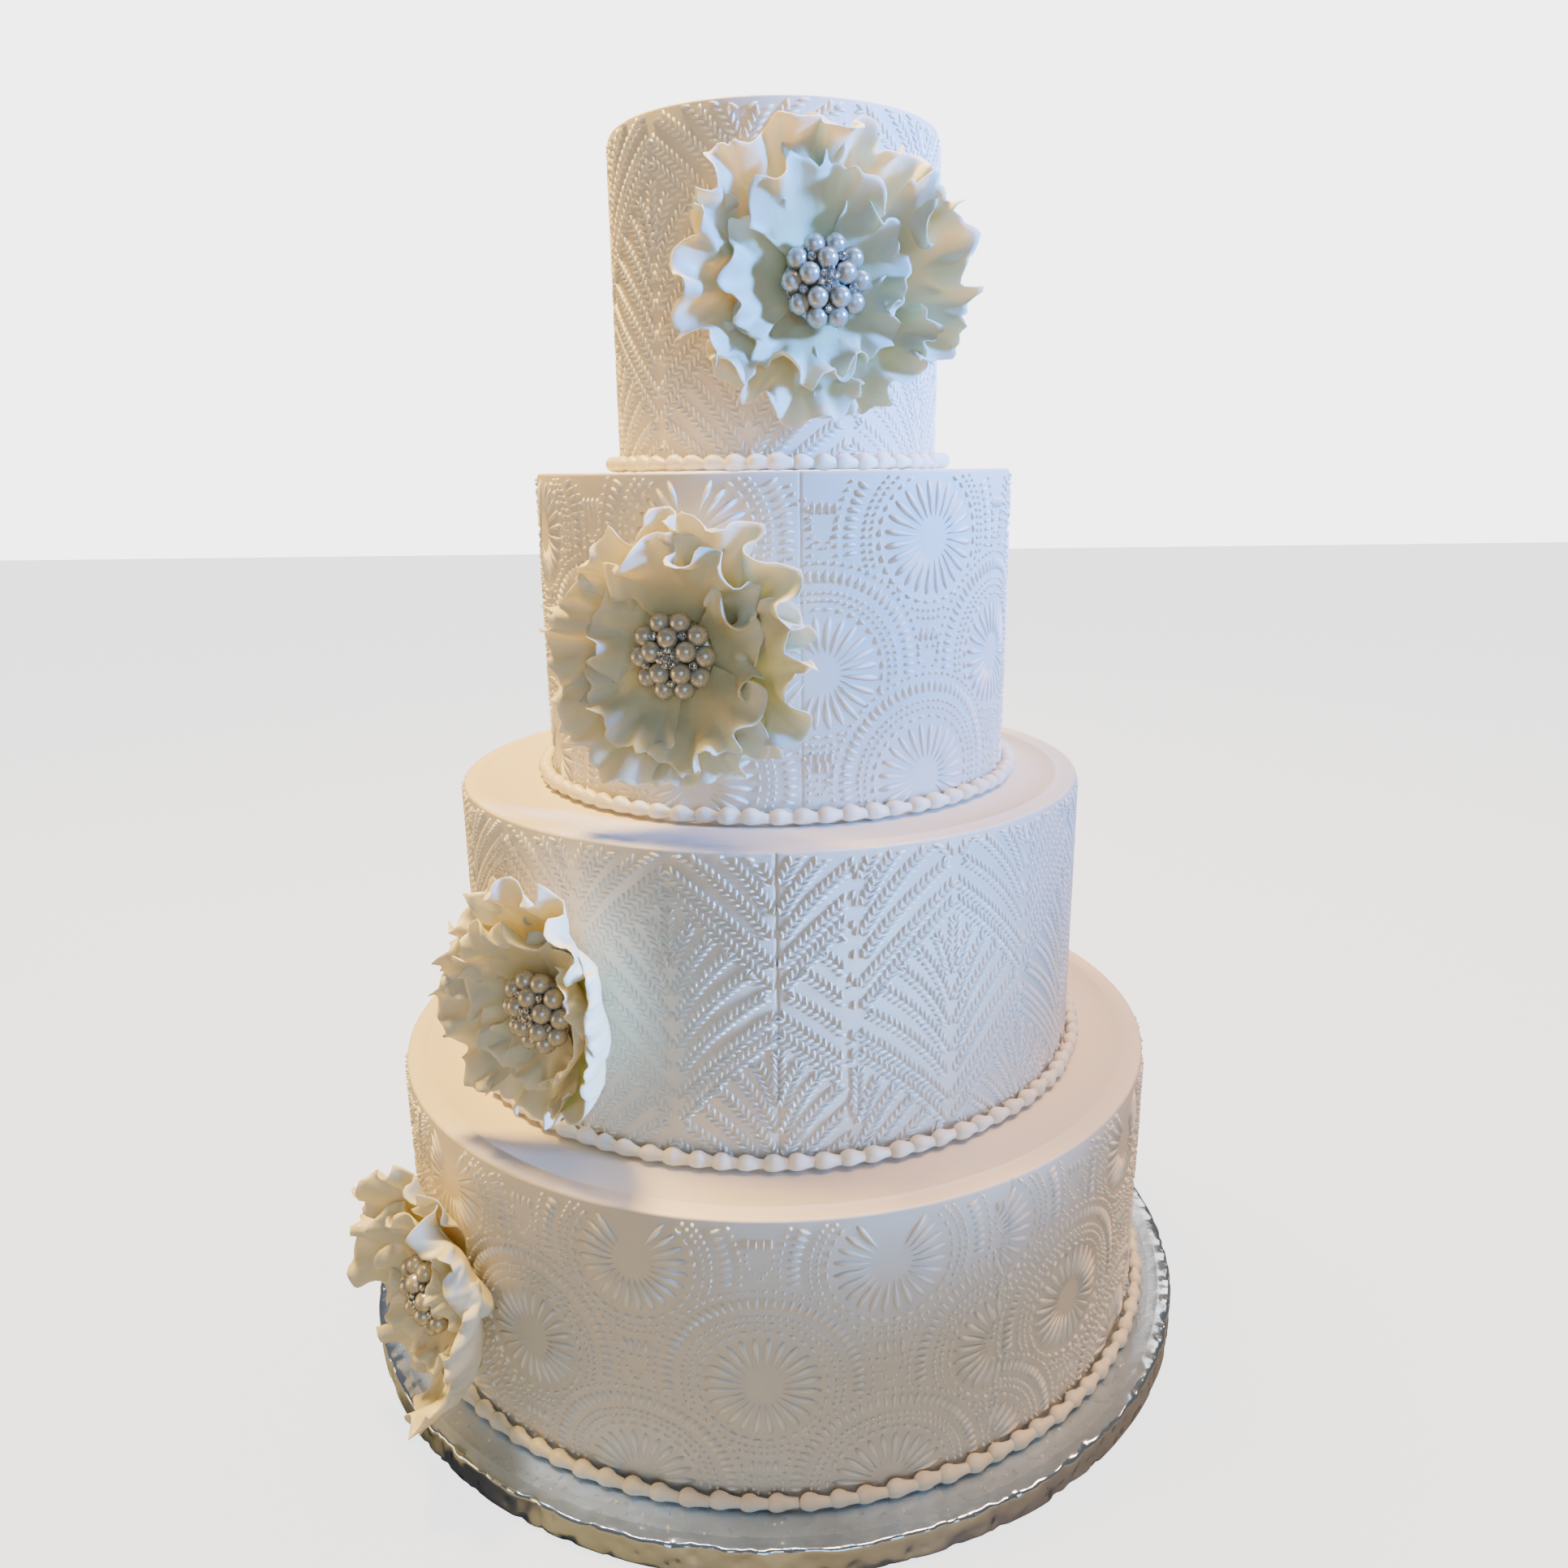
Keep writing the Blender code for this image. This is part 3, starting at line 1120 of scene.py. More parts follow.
        # Each drop is a little off its place, turned, and larger or smaller than the next
        rng = np.random.default_rng(90 + self.number)
        bearing = TAU * (np.arange(t.beads) + rng.uniform(-0.07, 0.07, t.beads)) / t.beads
        reach = t.radius + rng.uniform(3.1, 3.7, t.beads) * MM
        height = self.foot - GAP + rng.uniform(3.6, 3.9, t.beads) * MM
        points = np.stack([t.shift + reach * np.sin(bearing), -reach * np.cos(bearing), height], axis=1)
        roll = rng.uniform(-0.2, 0.2, t.beads)
        pitch = rng.uniform(-0.03, 0.05, t.beads)
        yaw = rng.uniform(-0.02, 0.05, t.beads)
        turns = np.stack([roll, pitch, bearing + yaw], axis=1)
        spans = rng.uniform(0.9, 1.0, (t.beads, 3)) * (1.02, 1.0, 1.0)
        stamps = Stamps("piped_drops", (self.bead(),), unevenness=0.04, seed=self.number)
        name = f"border_{self.number}_piping"
        return stamps.stand(name, points, turns, spans, finish)

    def build(self, fondant: Material, pressed: Material, icing: Material) -> None:
        """Builds and hangs the tier's three pieces.

        Args:
            fondant: The covering's finish.
            pressed: The pattern's finish, the fondant painted lighter as painted light on the raised marks.
            icing: The finish of the border.
        """
        finish_piece(self.covering(fondant), (f"tier_{self.number}",))
        # The marks get the lighter copy of the fondant, as painted light
        finish_piece(self.pattern(pressed))
        finish_piece(self.border(icing), (f"border_{self.number}",))


# Flowers
@dataclass
class PetalSheets:
    """All petals of the cake as grids of points, and the way their rims frill.

    The rims are longer than the bowl that carries them has room for, as paste is when it is
    thinned with a ball tool. Each petal is relaxed with that extra length until it buckles.
    """

    lines: int = 57
    rows: int = 30
    growth: float = 0.75
    steps: int = 260
    most: float = 7.5 * MM
    points: float = 0.065
    drift: float = 3.0 * MM
    # How many large and small points a rim has, and how lively its petal frills, at least and at most
    large_points: tuple = (4.2, 6.2)
    small_points: tuple = (9, 12)
    liveliness: tuple = (0.35, 1.15)
    # How much a calm petal rises, reaches out and curls in, and how much of its frills it loses
    calm_rise: float = 0.5
    calm_reach: float = 0.13
    calm_curl: float = 0.28
    calm_loss: float = 0.6
    # Half waves of the first ripples across a petal, the ripples' height and the rim's unevenness
    ripples: tuple = (2.5, 4, 5.5, 7, 9, 11)
    ripple_height: float = 1.1 * MM
    unevenness: float = 0.26
    # Rows down, lines right and stiffness of the springs from each point of a petal
    links: tuple = (
        (0, 1, 1.0), (1, 0, 1.0), (1, 1, 0.35), (1, -1, 0.35),
        (0, 2, 0.6), (2, 0, 0.5), (0, 4, 0.10), (0, 7, 0.03), (4, 0, 0.08),
    )

    def bowl(self, flower: Flower, ring: Ring, index: int) -> tuple:
        """The bowl under one petal, in the flower's own space.

        Args:
            flower: The flower.
            ring: The petal's ring.
            index: The petal's number in the ring.

        Returns:
            The smooth bowl, the bowl with the ruffles of the CAD petal, the share of the reach, and
            how lively each line of the petal frills.
        """
        crests = self.crests(ring, flower.seed + ring.petals)
        reaches = np.random.default_rng(flower.seed + 100).uniform(0.90, 1.06, ring.petals)
        reach = ring.reach * flower.size
        root = PETAL_ROOT / reach
        column = np.linspace(0, COLUMNS, self.lines)[None, :]
        side = 2.0 * column / COLUMNS - 1.0
        bearing = math.radians(flower.turn_deg + ring.turn_deg)
        bearing = bearing + TAU / (ring.petals * PITCH_COLUMNS) * (index * PITCH_COLUMNS + column)
        lean_right, lean_up = flower.lean
        rng = np.random.default_rng(flower.seed * 31 + ring.petals * 7 + index)
        rim = reaches[index] * (1.0 - CORNER_CUT * side**4) * (1.0 - rng.uniform(0, ring.shortest))
        rim = rim * (1.0 + lean_right * np.cos(bearing) + lean_up * np.sin(bearing))
        # Large and small points stand unevenly along the rim and leave some stretches smooth
        u = column / COLUMNS
        bent = u + 0.05 * np.sin(TAU * (1.3 * u + rng.random())) + rng.random()
        torn = np.abs(np.sin(math.pi * rng.uniform(*self.large_points) * bent)) ** 0.8
        fine = np.sin(TAU * rng.uniform(*self.small_points) * bent) * 0.25
        some = 0.4 + 0.6 * np.sin(TAU * (u + rng.random())) ** 2
        rim = rim * (1.0 - self.points * (torn + fine) * some)
        t = np.linspace(0, 1, self.rows)[:, None]
        share = root + (rim - root) * t
        # The crests of the CAD petal, eased from line to line
        at = (index * PITCH_COLUMNS + column) % len(crests)
        low = np.floor(at).astype(int)
        ease = (1 - np.cos(math.pi * (at - low))) / 2
        crest = crests[low] * (1 - ease) + crests[(low + 1) % len(crests)] * ease
        # Calm petals stand further out of the wall, and their rims curl in over the heart
        calm = flower.calm * np.clip(np.cos(bearing + 0.25) * 1.5, 0, 1)
        rise = ring.rise * flower.depth * (1 + self.calm_rise * calm)
        height = ring.foot + rise * np.minimum(share, 1.06) ** ring.cup
        height = height + ring.step * (column - COLUMNS / 2) / PITCH_COLUMNS
        radius = share * reach * (1 + self.calm_reach * calm) * (1 - self.calm_curl * calm * t**5)
        x, y = radius * np.cos(bearing), radius * np.sin(bearing)
        bare = np.stack(np.broadcast_arrays(x, y, height), axis=-1)
        # Each petal sways in a wide wave and in a narrow one of its own
        wide = np.sin(TAU * (0.75 * u + rng.random())) * t**1.4
        narrow = 0.5 * np.sin(TAU * (1.6 * u + rng.random()) + 3 * t) * t
        bare[..., 2] += self.drift * (wide + narrow) * (1 + 0.5 * calm)
        waved = bare.copy()
        mood = rng.uniform(*self.liveliness)
        waved[..., 2] += ring.ruffle * crest * t**6 * (1 - calm) * min(1.0, 0.25 + mood)
        return bare, waved, np.broadcast_to(t, bare.shape[:2]), (1.0 - self.calm_loss * calm) * mood

    @staticmethod
    def crests(ring: Ring, seed: int) -> np.ndarray:
        """Crests and troughs round a ring's rim, as the CAD source has them.

        Args:
            ring: The ring of petals.
            seed: The seed of their depth.

        Returns:
            The height of each line, from -1 to 1.
        """
        lines = ring.petals * PITCH_COLUMNS
        depth = np.random.default_rng(seed).uniform(0.45, 1.0, lines)
        return depth * np.where(np.arange(lines) % 2 == 0, 1.0, -1.0)

    @staticmethod
    def pull(grid: np.ndarray, free: np.ndarray, ahead: tuple, rest: np.ndarray, force: float) -> None:
        """Moves pairs of points towards their rest distance, no point in two pairs at a time.

        Args:
            grid: Points of all petals, changed in place.
            free: How freely each row moves, 0 for the pinned root.
            ahead: Rows and columns from a pair's first point to its second.
            rest: The rest distance of each pair.
            force: The share of the error that one pass takes out.
        """
        down, right = ahead
        rows, lines = grid.shape[1:3]
        stride = 2 * max(down, abs(right))
        for turn in range(stride):
            r = np.arange(rows - down)
            c = np.arange(max(0, -right), lines - max(0, right))
            if down > abs(right):
                r = r[r % stride == turn]
            else:
                c = c[c % stride == turn]
            if len(r) == 0 or len(c) == 0:
                continue
            a = (slice(None), r[:, None], c[None, :])
            b = (slice(None), (r + down)[:, None], (c + right)[None, :])
            gap = grid[b] - grid[a]
            far = np.sqrt((gap**2).sum(-1)) + 1e-9
            wa, wb = free[r][None, :, None], free[r + down][None, :, None]
            pull = force * (far - rest[a]) / far / (wa + wb + 1e-9)
            grid[a] += gap * (pull * wa)[..., None]
            grid[b] -= gap * (pull * wb)[..., None]

    def relaxed(self, bare: np.ndarray, waved: np.ndarray, lively: np.ndarray, seed: int) -> np.ndarray:
        """Lets the rims buckle.

        Args:
            bare: The smooth bowls of all petals.
            waved: The bowls with their ruffles.
            lively: How much each line of each petal frills.
            seed: The seed of the unevenness.

        Returns:
            The frilled petals.
        """
        rng = np.random.default_rng(seed)
        count, rows, lines = bare.shape[:3]
        t = np.linspace(0, 1, rows)
        # The root is pinned, and the petal comes free over the next rows
        free = np.clip((t - 0.12) / 0.15, 0, 1)
        # The outer third of a petal grows, and its two sides grow a little from lower down
        u = np.linspace(0, 1, lines)
        side = np.clip((np.abs(2 * u - 1) - 0.72) / 0.28, 0, 1)[None, :]
        side = side * np.clip((t - 0.3) / 0.4, 0, 1)[:, None]
        rise = np.maximum(np.clip((t - 0.62) / 0.38, 0, 1)[:, None] ** 1.6, 0.35 * side)
        # Small ripples give the buckling a start, and some stretches of a rim grow more than others
        uneven = np.ones((count, 1, lines))
        start = np.zeros((count, rows, lines))
        for k in self.ripples:
            phase = rng.uniform(0, TAU, (count, 1, 1))
            uneven = uneven + self.unevenness * np.sin(TAU * k * 0.5 * u + 2 * phase)
            size = rng.uniform(0.2, 1.0, (count, 1, 1)) * (5 / k) ** 0.4
            slant = rng.uniform(-3, 3, (count, 1, 1)) * t[:, None]
            start = start + size * np.sin(TAU * k * (u + 0.06 * np.sin(TAU * 2 * u + phase)) + phase + slant)
        grown = 1 + self.growth * rise[None] * np.clip(uneven, 0.12, 1.8) * lively
        grid = waved.copy()
        normal = np.cross(np.gradient(bare, axis=2), np.gradient(bare, axis=1))
        normal /= np.linalg.norm(normal, axis=-1, keepdims=True) + 1e-12
        grid += normal * (start * self.ripple_height * rise[None] * lively)[..., None]
        kinds = []
        for down, right, force in self.links:
            shifted = np.roll(np.roll(bare, -down, axis=1), -right, axis=2)
            rest = np.linalg.norm(shifted - bare, axis=-1)
            if right:
                rest = rest * (1 + (grown - 1) * abs(right) / (abs(right) + down))
            kinds.append(((down, right), rest, force))
        # The middle of a petal is drawn back to its bowl, its rim hardly at all
        home = (0.010 * (1 - rise) + 0.0006)[None, :, :, None] * (free > 0)[None, :, None, None]
        for _ in range(self.steps):
            for ahead, rest, force in kinds:
                self.pull(grid, free, ahead, rest, force)
            grid += (waved - grid) * home
            off = grid - waved
            far = np.linalg.norm(off, axis=-1, keepdims=True)
            grid = waved + off * np.minimum(1, self.most / np.maximum(far, 1e-9))
        # Two light passes take out kinks between the lines
        for _ in range(2):
            beside = np.roll(grid, 1, 2) + np.roll(grid, -1, 2)
            smooth = (beside + np.roll(grid, 1, 1) + np.roll(grid, -1, 1)) / 4
            grid[:, 1:-1, 1:-1] += 0.4 * (smooth - grid)[:, 1:-1, 1:-1]
        return grid


# Sizes of a brooch in millimetres. Each ring of pearls or stones has a number, a reach, a height and a
# start in radians, and a ring of stones has their radius as well.
PEARL_RADIUS = 4.4 * MM
PEARL_RINGS = ((5, 7.7, 8.1, math.radians(20.0)), (10, 13.9, 4.7, math.radians(2.0)))
STONE_RINGS = ((1, 0.0, 11.6, 0.0, 1.6), (6, 3.1, 10.9, 0.3, 1.35),
               (5, 10.6, 8.4, math.radians(56.0), 1.45))
PLATE_PROFILE = ((15.6, 0.4), (16.2, 1.2), (15.4, 2.0), (12.5, 3.4),
                 (9.0, 5.2), (5.5, 7.2), (4.6, 9.2), (3.4, 10.0))
# Reach, height and lift at the claws of each ring of a cup, as shares of its stone's radius
CUP_PROFILE = ((0.6, -1.8, 0.0), (1.16, -0.9, 0.0), (1.24, -0.05, 0.35), (1.0, 0.1, 0.45), (0.92, -0.2, 0.1))


@dataclass
class SugarFlower:
    """A ruffled flower: its petals, and the pearl brooch in its heart."""

    number: int
    flower: Flower
    tier: Tier
    foot: float
    middle_thickness: float = 0.9 * MM
    rim_thickness: float = 0.45 * MM

    def seat(self) -> Matrix:
        """The flower's own space: X to the right, Y up, Z straight out of the wall.

        Returns:
            The matrix from that space into the cake's.
        """
        bearing = math.radians(self.flower.bearing_deg)
        place = (
            self.tier.shift + self.tier.radius * math.sin(bearing),
            -self.tier.radius * math.cos(bearing),
            self.foot + self.tier.height * self.flower.height_share,
        )
        turn = Matrix.Rotation(bearing, 4, "Z") @ Matrix.Rotation(math.pi / 2, 4, "X")
        return Matrix.Translation(place) @ turn

    def to_world(self, points: np.ndarray) -> np.ndarray:
        """Moves points from the flower's own space into the cake's."""
        seat = np.array(self.seat())
        return points @ seat[:3, :3].T + seat[:3, 3]

    def petal(self, name: str, sheet: np.ndarray, share: np.ndarray, finish: Material) -> Object:
        """Gives a sheet its thickness.

        Args:
            name: The piece's name.
            sheet: The grid of points, in the flower's own space.
            share: How far out each point is, from 0 to 1.
            finish: The paste.

        Returns:
            The piece, closed all round.
        """
        rows, lines = sheet.shape[:2]
        normal = np.cross(np.gradient(sheet, axis=1), -np.gradient(sheet, axis=0))
        normal = -normal / (np.linalg.norm(normal, axis=-1, keepdims=True) + 1e-12)
        side = np.abs(np.linspace(-1, 1, lines))[None, :, None]
        thin = np.clip((np.maximum(share[..., None], side) - 0.6) / 0.4, 0, 1)
        half = (self.middle_thickness + (self.rim_thickness - self.middle_thickness) * thin) / 2
        both = np.concatenate([sheet + normal * half, sheet - normal * half]).reshape(-1, 3)
        count = rows * lines
        faces = grid_faces(rows, lines, closed=False)
        faces += [tuple(count + v for v in f[::-1]) for f in faces]
        loop = list(range(lines))
        loop += [r * lines + lines - 1 for r in range(1, rows)]
        loop += [(rows - 1) * lines + c for c in range(lines - 2, -1, -1)]
        loop += [r * lines for r in range(rows - 2, 0, -1)]
        faces += [(a, count + a, count + b, b) for a, b in zip(loop, loop[1:] + loop[:1])]
        made = mesh_object(name, self.to_world(both), faces)
        point_values(made, "reach", np.tile(share.ravel(), 2))
        if self.inside_out(made):
            made.data.flip_normals()
        made.data.materials.append(finish)
        return made

    @staticmethod
    def inside_out(made: Object) -> bool:
        """Looks at which way a closed shell's faces point, by the sign of its volume.

        Args:
            made: The shell.

        Returns:
            Whether they look inwards.
        """
        work = bmesh.new()
        work.from_mesh(made.data)
        volume = work.calc_volume(signed=True)
        work.free()
        return volume < 0

    @staticmethod
    def ringed(rings: tuple) -> np.ndarray:
        """Places on rings round the flower's middle, over the brooch's foot.

        Args:
            rings: Number, reach, height and start of each ring, with any further numbers behind.

        Returns:
            Places in the flower's own space, each with the further numbers behind.
        """
        places = []
        for count, reach, height, start, *more in rings:
            for k in range(count):
                a = start + TAU * k / count
                places.append((reach * math.cos(a), reach * math.sin(a), height, *more))
        made = np.array(places) * MM
        made[:, 2] += BROOCH_LIFT
        return made

    def pearls(self, finish: Material) -> Object:
        """Builds the pearls.

        Args:
            finish: The pearl.

        Returns:
            The piece.
        """
        # A ball of rings that ends in a small flat cap at each pole
        around, rows = 20, 13
        polar = np.linspace(0.06, math.pi - 0.06, rows)[:, None]
        turn = np.linspace(0, TAU, around, endpoint=False)
        across, ahead = np.sin(polar) * np.cos(turn), np.sin(polar) * np.sin(turn)
        axes = np.broadcast_arrays(across, ahead, -np.cos(polar))
        ball = np.stack(axes, axis=-1).reshape(-1, 3)
        places = self.to_world(self.ringed(PEARL_RINGS))
        stamps = Stamps("pearls", ((ball, tube_faces(rows, around)),))
        spans = np.full_like(places, PEARL_RADIUS)
        return stamps.stand(f"flower_{self.number}_pearls", places, np.zeros_like(places), spans, finish)

    def stones(self, finish: Material) -> Object:
        """Builds the cut stones.

        Args:
            finish: The stone.

        Returns:
            The piece.
        """
        verts = [(0, 0, -0.8)] + [(x, y, 0.0) for x, y in round_outline(8)]
        verts += [(0.82 * x, 0.82 * y, 0.28) for x, y in round_outline(8, turn=0.5)]
        verts += [(0.5 * x, 0.5 * y, 0.5) for x, y in round_outline(8)]
        # The point underneath is 0, then come the girdle, the crown and the table with eight points each
        girdle, crown, table = (list(range(first, first + 8)) for first in (1, 9, 17))
        faces = [tuple(table)]
        for k in range(8):
            n = (k + 1) % 8
            faces += [(0, girdle[n], girdle[k]), (girdle[k], girdle[n], crown[k])]
            faces += [(girdle[n], crown[n], crown[k]), (crown[k], crown[n], table[n])]
            faces.append((crown[k], table[n], table[k]))
        places = self.ringed(STONE_RINGS)
        # Each stone is set a little askew, so that no two flash alike
        rng = np.random.default_rng(self.flower.seed)
        bearing = math.radians(self.flower.bearing_deg)
        turns = (math.pi / 2, 0, bearing) + rng.uniform(-0.22, 0.22, (len(places), 3))
        spans = np.repeat(places[:, 3:4], 3, axis=1)
        stamps = Stamps("stones", ((verts, faces),))
        name = f"flower_{self.number}_rhinestones"
        return stamps.stand(name, self.to_world(places[:, :3]), turns, spans, finish, smooth=False)

    def setting(self, finish: Material) -> Object:
        """Builds the metal: a domed plate under the pearls and a cup with claws round each stone.

        Args:
            finish: The metal.

        Returns:
            The piece.
        """
        turn = np.linspace(0, TAU, 40, endpoint=False)
        verts, faces = lathe([(r * MM, z * MM) for r, z in PLATE_PROFILE], turn)
        verts[:, 2] += BROOCH_LIFT
        parts = [(verts, faces)]
        # A cup has sixteen points in a ring, and every fourth one is a claw
        around = np.linspace(0, TAU, 16, endpoint=False)
        claw = np.where(np.arange(16) % 4 == 0, 1.0, 0.0)
        sides = tube_faces(len(CUP_PROFILE), 16)
        for x, y, z, radius in self.ringed(STONE_RINGS):
            rings = [np.stack([reach * np.cos(around), reach * np.sin(around), height + lift * claw], axis=1)
                     for reach, height, lift in CUP_PROFILE]
            parts.append((radius * np.vstack(rings) + (x, y, z), sides))
        points, polygons = [], []
        for part_verts, part_faces in parts:
            start = sum(len(p) for p in points)
            points.append(part_verts)
            polygons += [tuple(start + v for v in f) for f in part_faces]
        made = mesh_object(f"flower_{self.number}_setting", self.to_world(np.vstack(points)), polygons)
        made.data.materials.append(finish)
        return made

    def build(self, sheets: list, paste: Material, jewels: tuple) -> None:
        """Builds and hangs the petals and the brooch.

        Args:
            sheets: Name, grid and shares of each petal.
            paste: The petals' finish.
            jewels: The finishes of pearls, stones and metal.
        """
        for node, sheet, share in sheets:
            finish_piece(self.petal(node + "_frilled", sheet, share, paste), (node,))
        pearl, stone, metal = jewels
        finish_piece(self.pearls(pearl), (f"flower_{self.number}_brooch",))
        finish_piece(self.stones(stone))
        finish_piece(self.setting(metal))


# Drum
@dataclass
class FoilDrum:
    """The round board under the cake, wrapped in embossed foil that is folded over its edge."""

    columns: int = 720
    folds: int = 96
    edge: float = 1.6 * MM
    # How wide and deep the folds are in millimetres, at least and at most, and how deep several reach
    fold_width: tuple = (0.9, 2.8)
    fold_depth: tuple = (0.4, 1.1)
    deepest: float = 1.4 * MM
    # How far the crinkled edge of the top dips, and how wide the band is that is crinkled
    rim_dip: float = 0.35 * MM
    band: float = 8 * MM

    def build(self, finish: Material) -> None:
        """Builds and hangs the drum.

        Args:
            finish: The foil.
        """
        bearings = np.linspace(0, TAU, self.columns, endpoint=False)
        out, top, edge = DRUM_RADIUS, DRUM_HEIGHT, self.edge
        profile = [(out - 9 * MM, 0.0)]
        profile += [(out - edge * (1 - math.sin(a)), edge * (1 - math.cos(a)))
                    for a in np.linspace(0, math.pi / 2, 4)]
        profile += [(out, edge + (top - 2 * edge) * k / 6) for k in range(1, 6)]
        profile += rounding(out, top, edge, 5)
        # Rings of the top, closer where it is crinkled, by their distance from the edge in millimetres
        profile += [(out - x * MM, top) for x in (4, 7, 12, 20, 60, 130)]
        verts, faces = lathe(profile, bearings)
        radius, bearing = np.hypot(verts[:, 0], verts[:, 1]), np.arctan2(verts[:, 0], -verts[:, 1])
        crinkled = np.clip((radius - (out - self.band)) / (0.75 * self.band), 0, 1)
        inward = crinkled * self.creases(bearing, verts[:, 2])
        verts[:, 0] -= inward * np.sin(bearing)
        verts[:, 1] += inward * np.cos(bearing)
        rim = crinkled * (verts[:, 2] > top / 2)
        verts[:, 2] -= rim * self.rim_dip * (1 + np.sin(37 * bearing + 3 * np.sin(11 * bearing))) / 2
        made = mesh_object("cake_drum_foil", verts, faces)
        point_values(made, "edge", crinkled)
        made.data.materials.append(finish)
        finish_piece(made, ("cake_drum",))

    def creases(self, bearing: np.ndarray, height: np.ndarray) -> np.ndarray:
        """How far the folded foil dips at each point of the edge.

        Args:
            bearing: The points' bearings.
            height: The points' heights.

        Returns:
            Depths in metres, none below zero.
        """
        rng = np.random.default_rng(5)
        depth = 0.15 * MM * (1 + np.sin(23 * bearing + 2 * np.sin(9 * bearing)))
        for _ in range(self.folds):
            at, slant = rng.uniform(-math.pi, math.pi), rng.uniform(-1.0, 1.0)
            off = (bearing - at - slant * height / DRUM_RADIUS + math.pi) % TAU - math.pi
            off = off * DRUM_RADIUS
            width = rng.uniform(*self.fold_width) * MM
            depth += rng.uniform(*self.fold_depth) * MM * np.exp(-((off / width) ** 2))
            # The foil beside a fold is drawn in a little too
            depth += 0.25 * MM * np.exp(-(((off - 3 * width) / (2.5 * width)) ** 2))
        return np.clip(depth, 0, self.deepest)


# Crumbs
@dataclass
class Crumbs:
    """Specks of icing that fell on the drum and on the second tier's top."""

    thickness: float = 0.45
    least: float = 0.25
    most: float = 0.9
    # How many, how near and far from the axis in millimetres, and the bearings between which they lie
    on_drum: tuple = (26, 203, 212, -40, 55)
    on_tier: tuple = (7, 126, 148, -28, 6)

    def build(self, top: float, finish: Material) -> None:
        """Scatters and hangs the specks.

        Args:
            top: The height of the second tier's top.
            finish: The icing.
        """
        rng = np.random.default_rng(21)
        rows = []
        for height, (count, near, far, low, high) in ((DRUM_HEIGHT, self.on_drum), (top, self.on_tier)):
            for _ in range(count):
                bearing, reach = math.radians(rng.uniform(low, high)), rng.uniform(near, far) * MM
                size = rng.uniform(self.least, self.most) ** 1.5 * MM
                place = (reach * math.sin(bearing), -reach * math.cos(bearing), height)
                rows.append((*place, size, rng.uniform(0, TAU)))
        rows = np.array(rows)
        turns = np.zeros((len(rows), 3))
        turns[:, 2] = rows[:, 4]
        spans = rows[:, 3:4] * (1.3, 0.9, 2 * self.thickness)
        speck = dome(round_outline(6), shelf=0.6, lift=0.9)
        specks = Stamps("crumbs", (speck,), unevenness=0.2, seed=3)
        piece = specks.stand("fallen_icing_crumbs", rows[:, :3], turns, spans, finish)
        finish_piece(piece)


# Studio
@dataclass(frozen=True)
class Lamp:
    """One soft panel: its place, the height it looks at, its side, its spread, its watts and colour.

    It looks at the cake's axis, or at another centre. It may be left out of glossy or of dull light.
    """

    name: str
    place: tuple
    aim: float
    side: float
    spread_deg: float
    watts: float
    colour: str
    centre: tuple = (0.0, 0.0)
    glossy: bool = True
    diffuse: bool = True

    def hang(self) -> None:
        """Makes the lamp and turns it towards what it lights."""
        data = bpy.data.lights.new(self.name, "AREA")
        data.shape, data.size, data.energy = "SQUARE", self.side, self.watts
        data.color, data.spread = linear(self.colour)[:3], math.radians(self.spread_deg)
        lamp = linked(self.name, data)
        away = Vector(self.place) - Vector((*self.centre, self.aim))
        turn = away.to_track_quat("Z", "Y").to_matrix().to_4x4()
        lamp.matrix_world = Matrix.Translation(self.place) @ turn
        lamp.visible_glossy, lamp.visible_diffuse = self.glossy, self.diffuse


# The overhead lamp's glow on fondant is amber, but its glint in foil and pearls is nearly white
OVERHEAD = (-0.35, 0.1, 1.7)
LAMPS = (
    Lamp("overhead_lamp", OVERHEAD, 0.3, 0.28, 180, 80, "#FFCC62", glossy=False),
    Lamp("overhead_glint", OVERHEAD, 0.3, 0.28, 180, 85, "#FFF0DC", diffuse=False),
    Lamp("overhead_panel", (0.6, 0.1, 1.7), 0.3, 0.8, 180, 49, "#FFCB9B"),
    Lamp("left_lamp", (-1.3, -0.25, 0.28), 0.2, 0.7, 180, 6.6, "#FFD39A"),
    Lamp("right_window", (1.6, -0.6, 0.95), 0.51, 0.25, 23, 4.1, "#4C99FF"),
    Lamp("low_window", (1.4, -0.55, 0.25), 0.23, 0.12, 9, 0.38, "#8FBEFF", (-0.115, -0.165)),
    Lamp("front_fill", (0.3, -1.9, 0.6), 0.15, 1.0, 180, 9.4, "#C1E5FF"),
    Lamp("back_fill", (0.3, 1.9, 0.9), 0.3, 1.0, 180, 11, "#FFF1E0"),
)


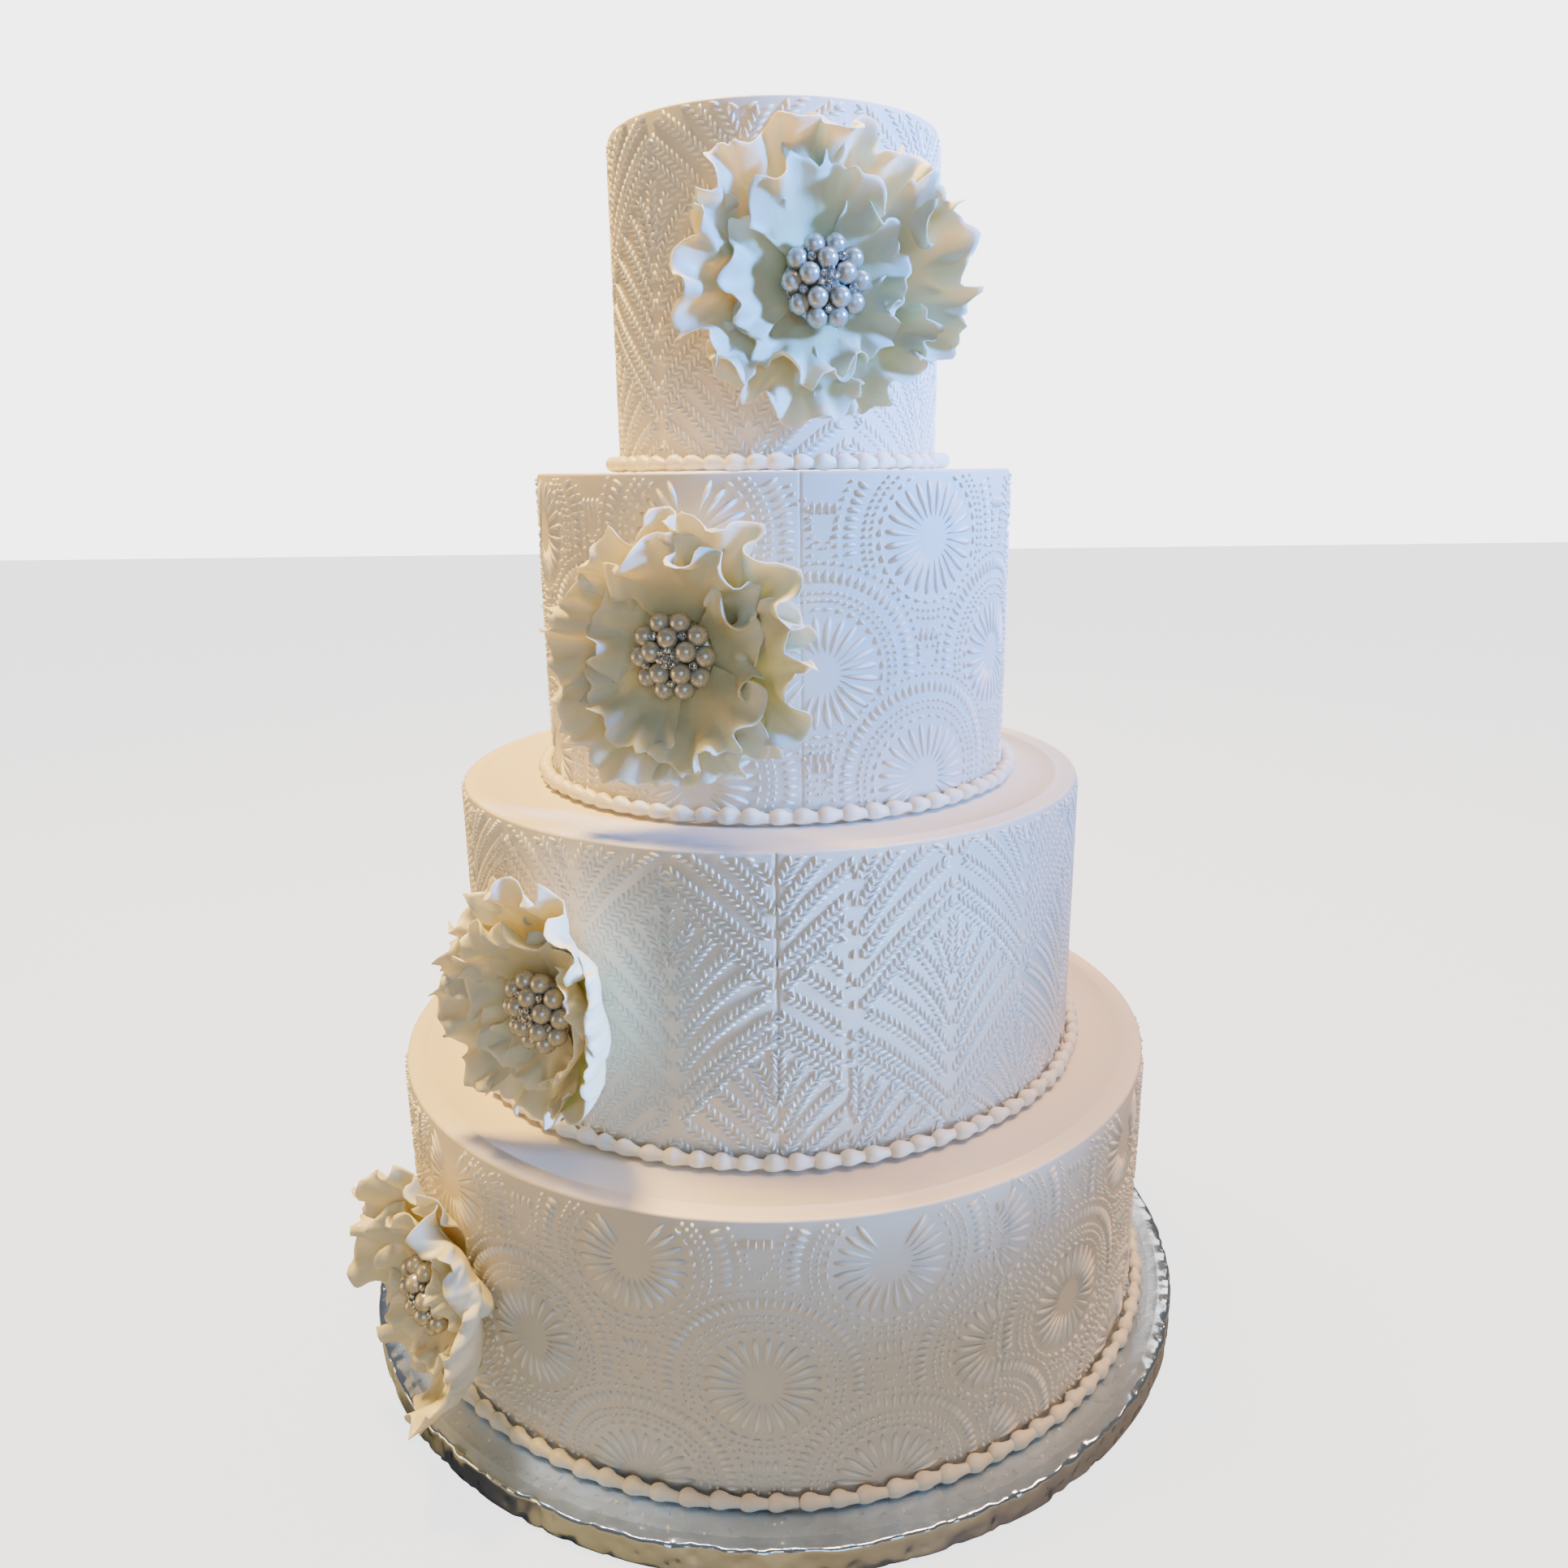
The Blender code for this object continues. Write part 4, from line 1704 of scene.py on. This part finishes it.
@dataclass
class Studio:
    """The camera at the photograph's angle, a pale floor and soft light from above and all sides."""

    eye: tuple = (7.1 * MM, -595.28 * MM, 432.87 * MM)
    lens: float = 27.07
    yaw_deg: float = 0.07
    pitch_deg: float = 14.92
    roll_deg: float = -0.67
    sensor: float = 36.0
    pale: str = "#F7F7F8"
    bright: float = 5.0
    dull_room: float = 0.03
    glossy_room: float = 0.17
    floor_side: float = 12.0
    floor_glow: float = 2.7

    def camera(self) -> None:
        """Makes the camera."""
        yaw, pitch, roll = (math.radians(a) for a in (self.yaw_deg, self.pitch_deg, self.roll_deg))
        level = math.cos(pitch)
        ahead = np.array([math.sin(yaw) * level, math.cos(yaw) * level, -math.sin(pitch)])
        right = np.cross(ahead, (0, 0, 1))
        right /= np.linalg.norm(right)
        up = np.cross(right, ahead)
        turned = math.cos(roll) * right + math.sin(roll) * up
        upright = -math.sin(roll) * right + math.cos(roll) * up
        matrix = Matrix(np.column_stack([turned, upright, -ahead]).tolist()).to_4x4()
        matrix.translation = self.eye
        data = bpy.data.cameras.new("camera")
        data.lens, data.sensor_width, data.clip_start = self.lens, self.sensor, 0.02
        camera = linked("camera", data)
        camera.matrix_world = matrix
        bpy.context.scene.camera = camera

    def build(self) -> None:
        """Makes camera, backdrop, lamps and floor."""
        self.camera()
        self.backdrop()
        for lamp in LAMPS:
            lamp.hang()
        self.floor()

    def backdrop(self) -> None:
        """Makes the world: a bright backdrop to the camera and a dim room in the foil and the pearls."""
        world = bpy.data.worlds.new("studio")
        bpy.context.scene.world = world
        world.use_nodes = True
        tree = world.node_tree
        path = add(tree, "ShaderNodeLightPath").outputs
        dim = {"Value": path["Is Glossy Ray"], "To Min": self.dull_room, "To Max": self.glossy_room}
        room = add(tree, "ShaderNodeMapRange", dim).outputs[0]
        mix = add(tree, "ShaderNodeMix", {0: path["Is Camera Ray"], 2: room, 3: self.bright}).outputs[0]
        fill(tree, tree.nodes["Background"], {"Color": linear(self.pale), "Strength": mix})

    def floor(self) -> None:
        """Makes the floor, pale to the camera only, so that it does not light the walls from below."""
        half = self.floor_side / 2
        corners = [(-half, -half, 0), (half, -half, 0), (half, half, 0), (-half, half, 0)]
        floor = mesh_object("floor", corners, [(0, 1, 2, 3)])
        paint = bpy.data.materials.new("painted_studio_floor")
        paint.use_nodes = True
        tree = paint.node_tree
        seen = add(tree, "ShaderNodeLightPath").outputs["Is Camera Ray"]
        glow = add(tree, "ShaderNodeMapRange", {"Value": seen, "To Min": 0.0, "To Max": self.floor_glow})
        fill(tree, tree.nodes["Principled BSDF"], {
            "Base Color": linear("#777A7E"),
            "Roughness": 0.9,
            "Emission Color": linear(self.pale),
            "Emission Strength": glow.outputs[0],
        })
        floor.data.materials.append(paint)
        floor.location.z = -0.2 * MM


def build_flowers(feet: list) -> None:
    """Frills all petals together, then builds the four flowers.

    Args:
        feet: The height of each tier's foot.
    """
    sheets = PetalSheets()
    names, bare, waved, shares, lively = [], [], [], [], []
    for number, flower in enumerate(FLOWERS, start=1):
        for ring in RINGS:
            for index in range(ring.petals):
                smooth, ruffled, share, liveliness = sheets.bowl(flower, ring, index)
                names.append((number, f"flower_{number}_{ring.name}_petal_{index + 1}"))
                bare.append(smooth)
                waved.append(ruffled)
                shares.append(share)
                lively.append(liveliness)
    grids = np.array(waved)
    grids = sheets.relaxed(np.array(bare), np.array(waved), np.array(lively), seed=12)
    paste, jewels = PASTE.make(), (PEARL.make(), STONE.make(), SETTING.make())
    for number, flower in enumerate(FLOWERS, start=1):
        own = [(node, grids[k], shares[k]) for k, (n, node) in enumerate(names) if n == number]
        SugarFlower(number, flower, TIERS[number - 1], feet[number - 1]).build(own, paste, jewels)


def main() -> None:
    """Builds the cake from the drum upwards, then the studio round it."""
    logging.basicConfig(level=logging.INFO, format="%(message)s")
    FoilDrum().build(FOIL.make())
    # The pressed copy of the fondant is painted lighter, as painted light on the raised marks
    fondant, pressed, icing = FONDANT.make(), PRESSED_PAINTED_LIGHTER.make(), ICING.make()
    foot, feet = DRUM_HEIGHT + GAP, []
    for number, tier in enumerate(TIERS, start=1):
        CoveredTier(number, tier, foot).build(fondant, pressed, icing)
        feet.append(foot)
        foot += tier.height + GAP
    build_flowers(feet)
    Crumbs().build(feet[1] + TIERS[1].height - MM, icing)
    Studio().build()


if __name__ == "__main__":
    main()
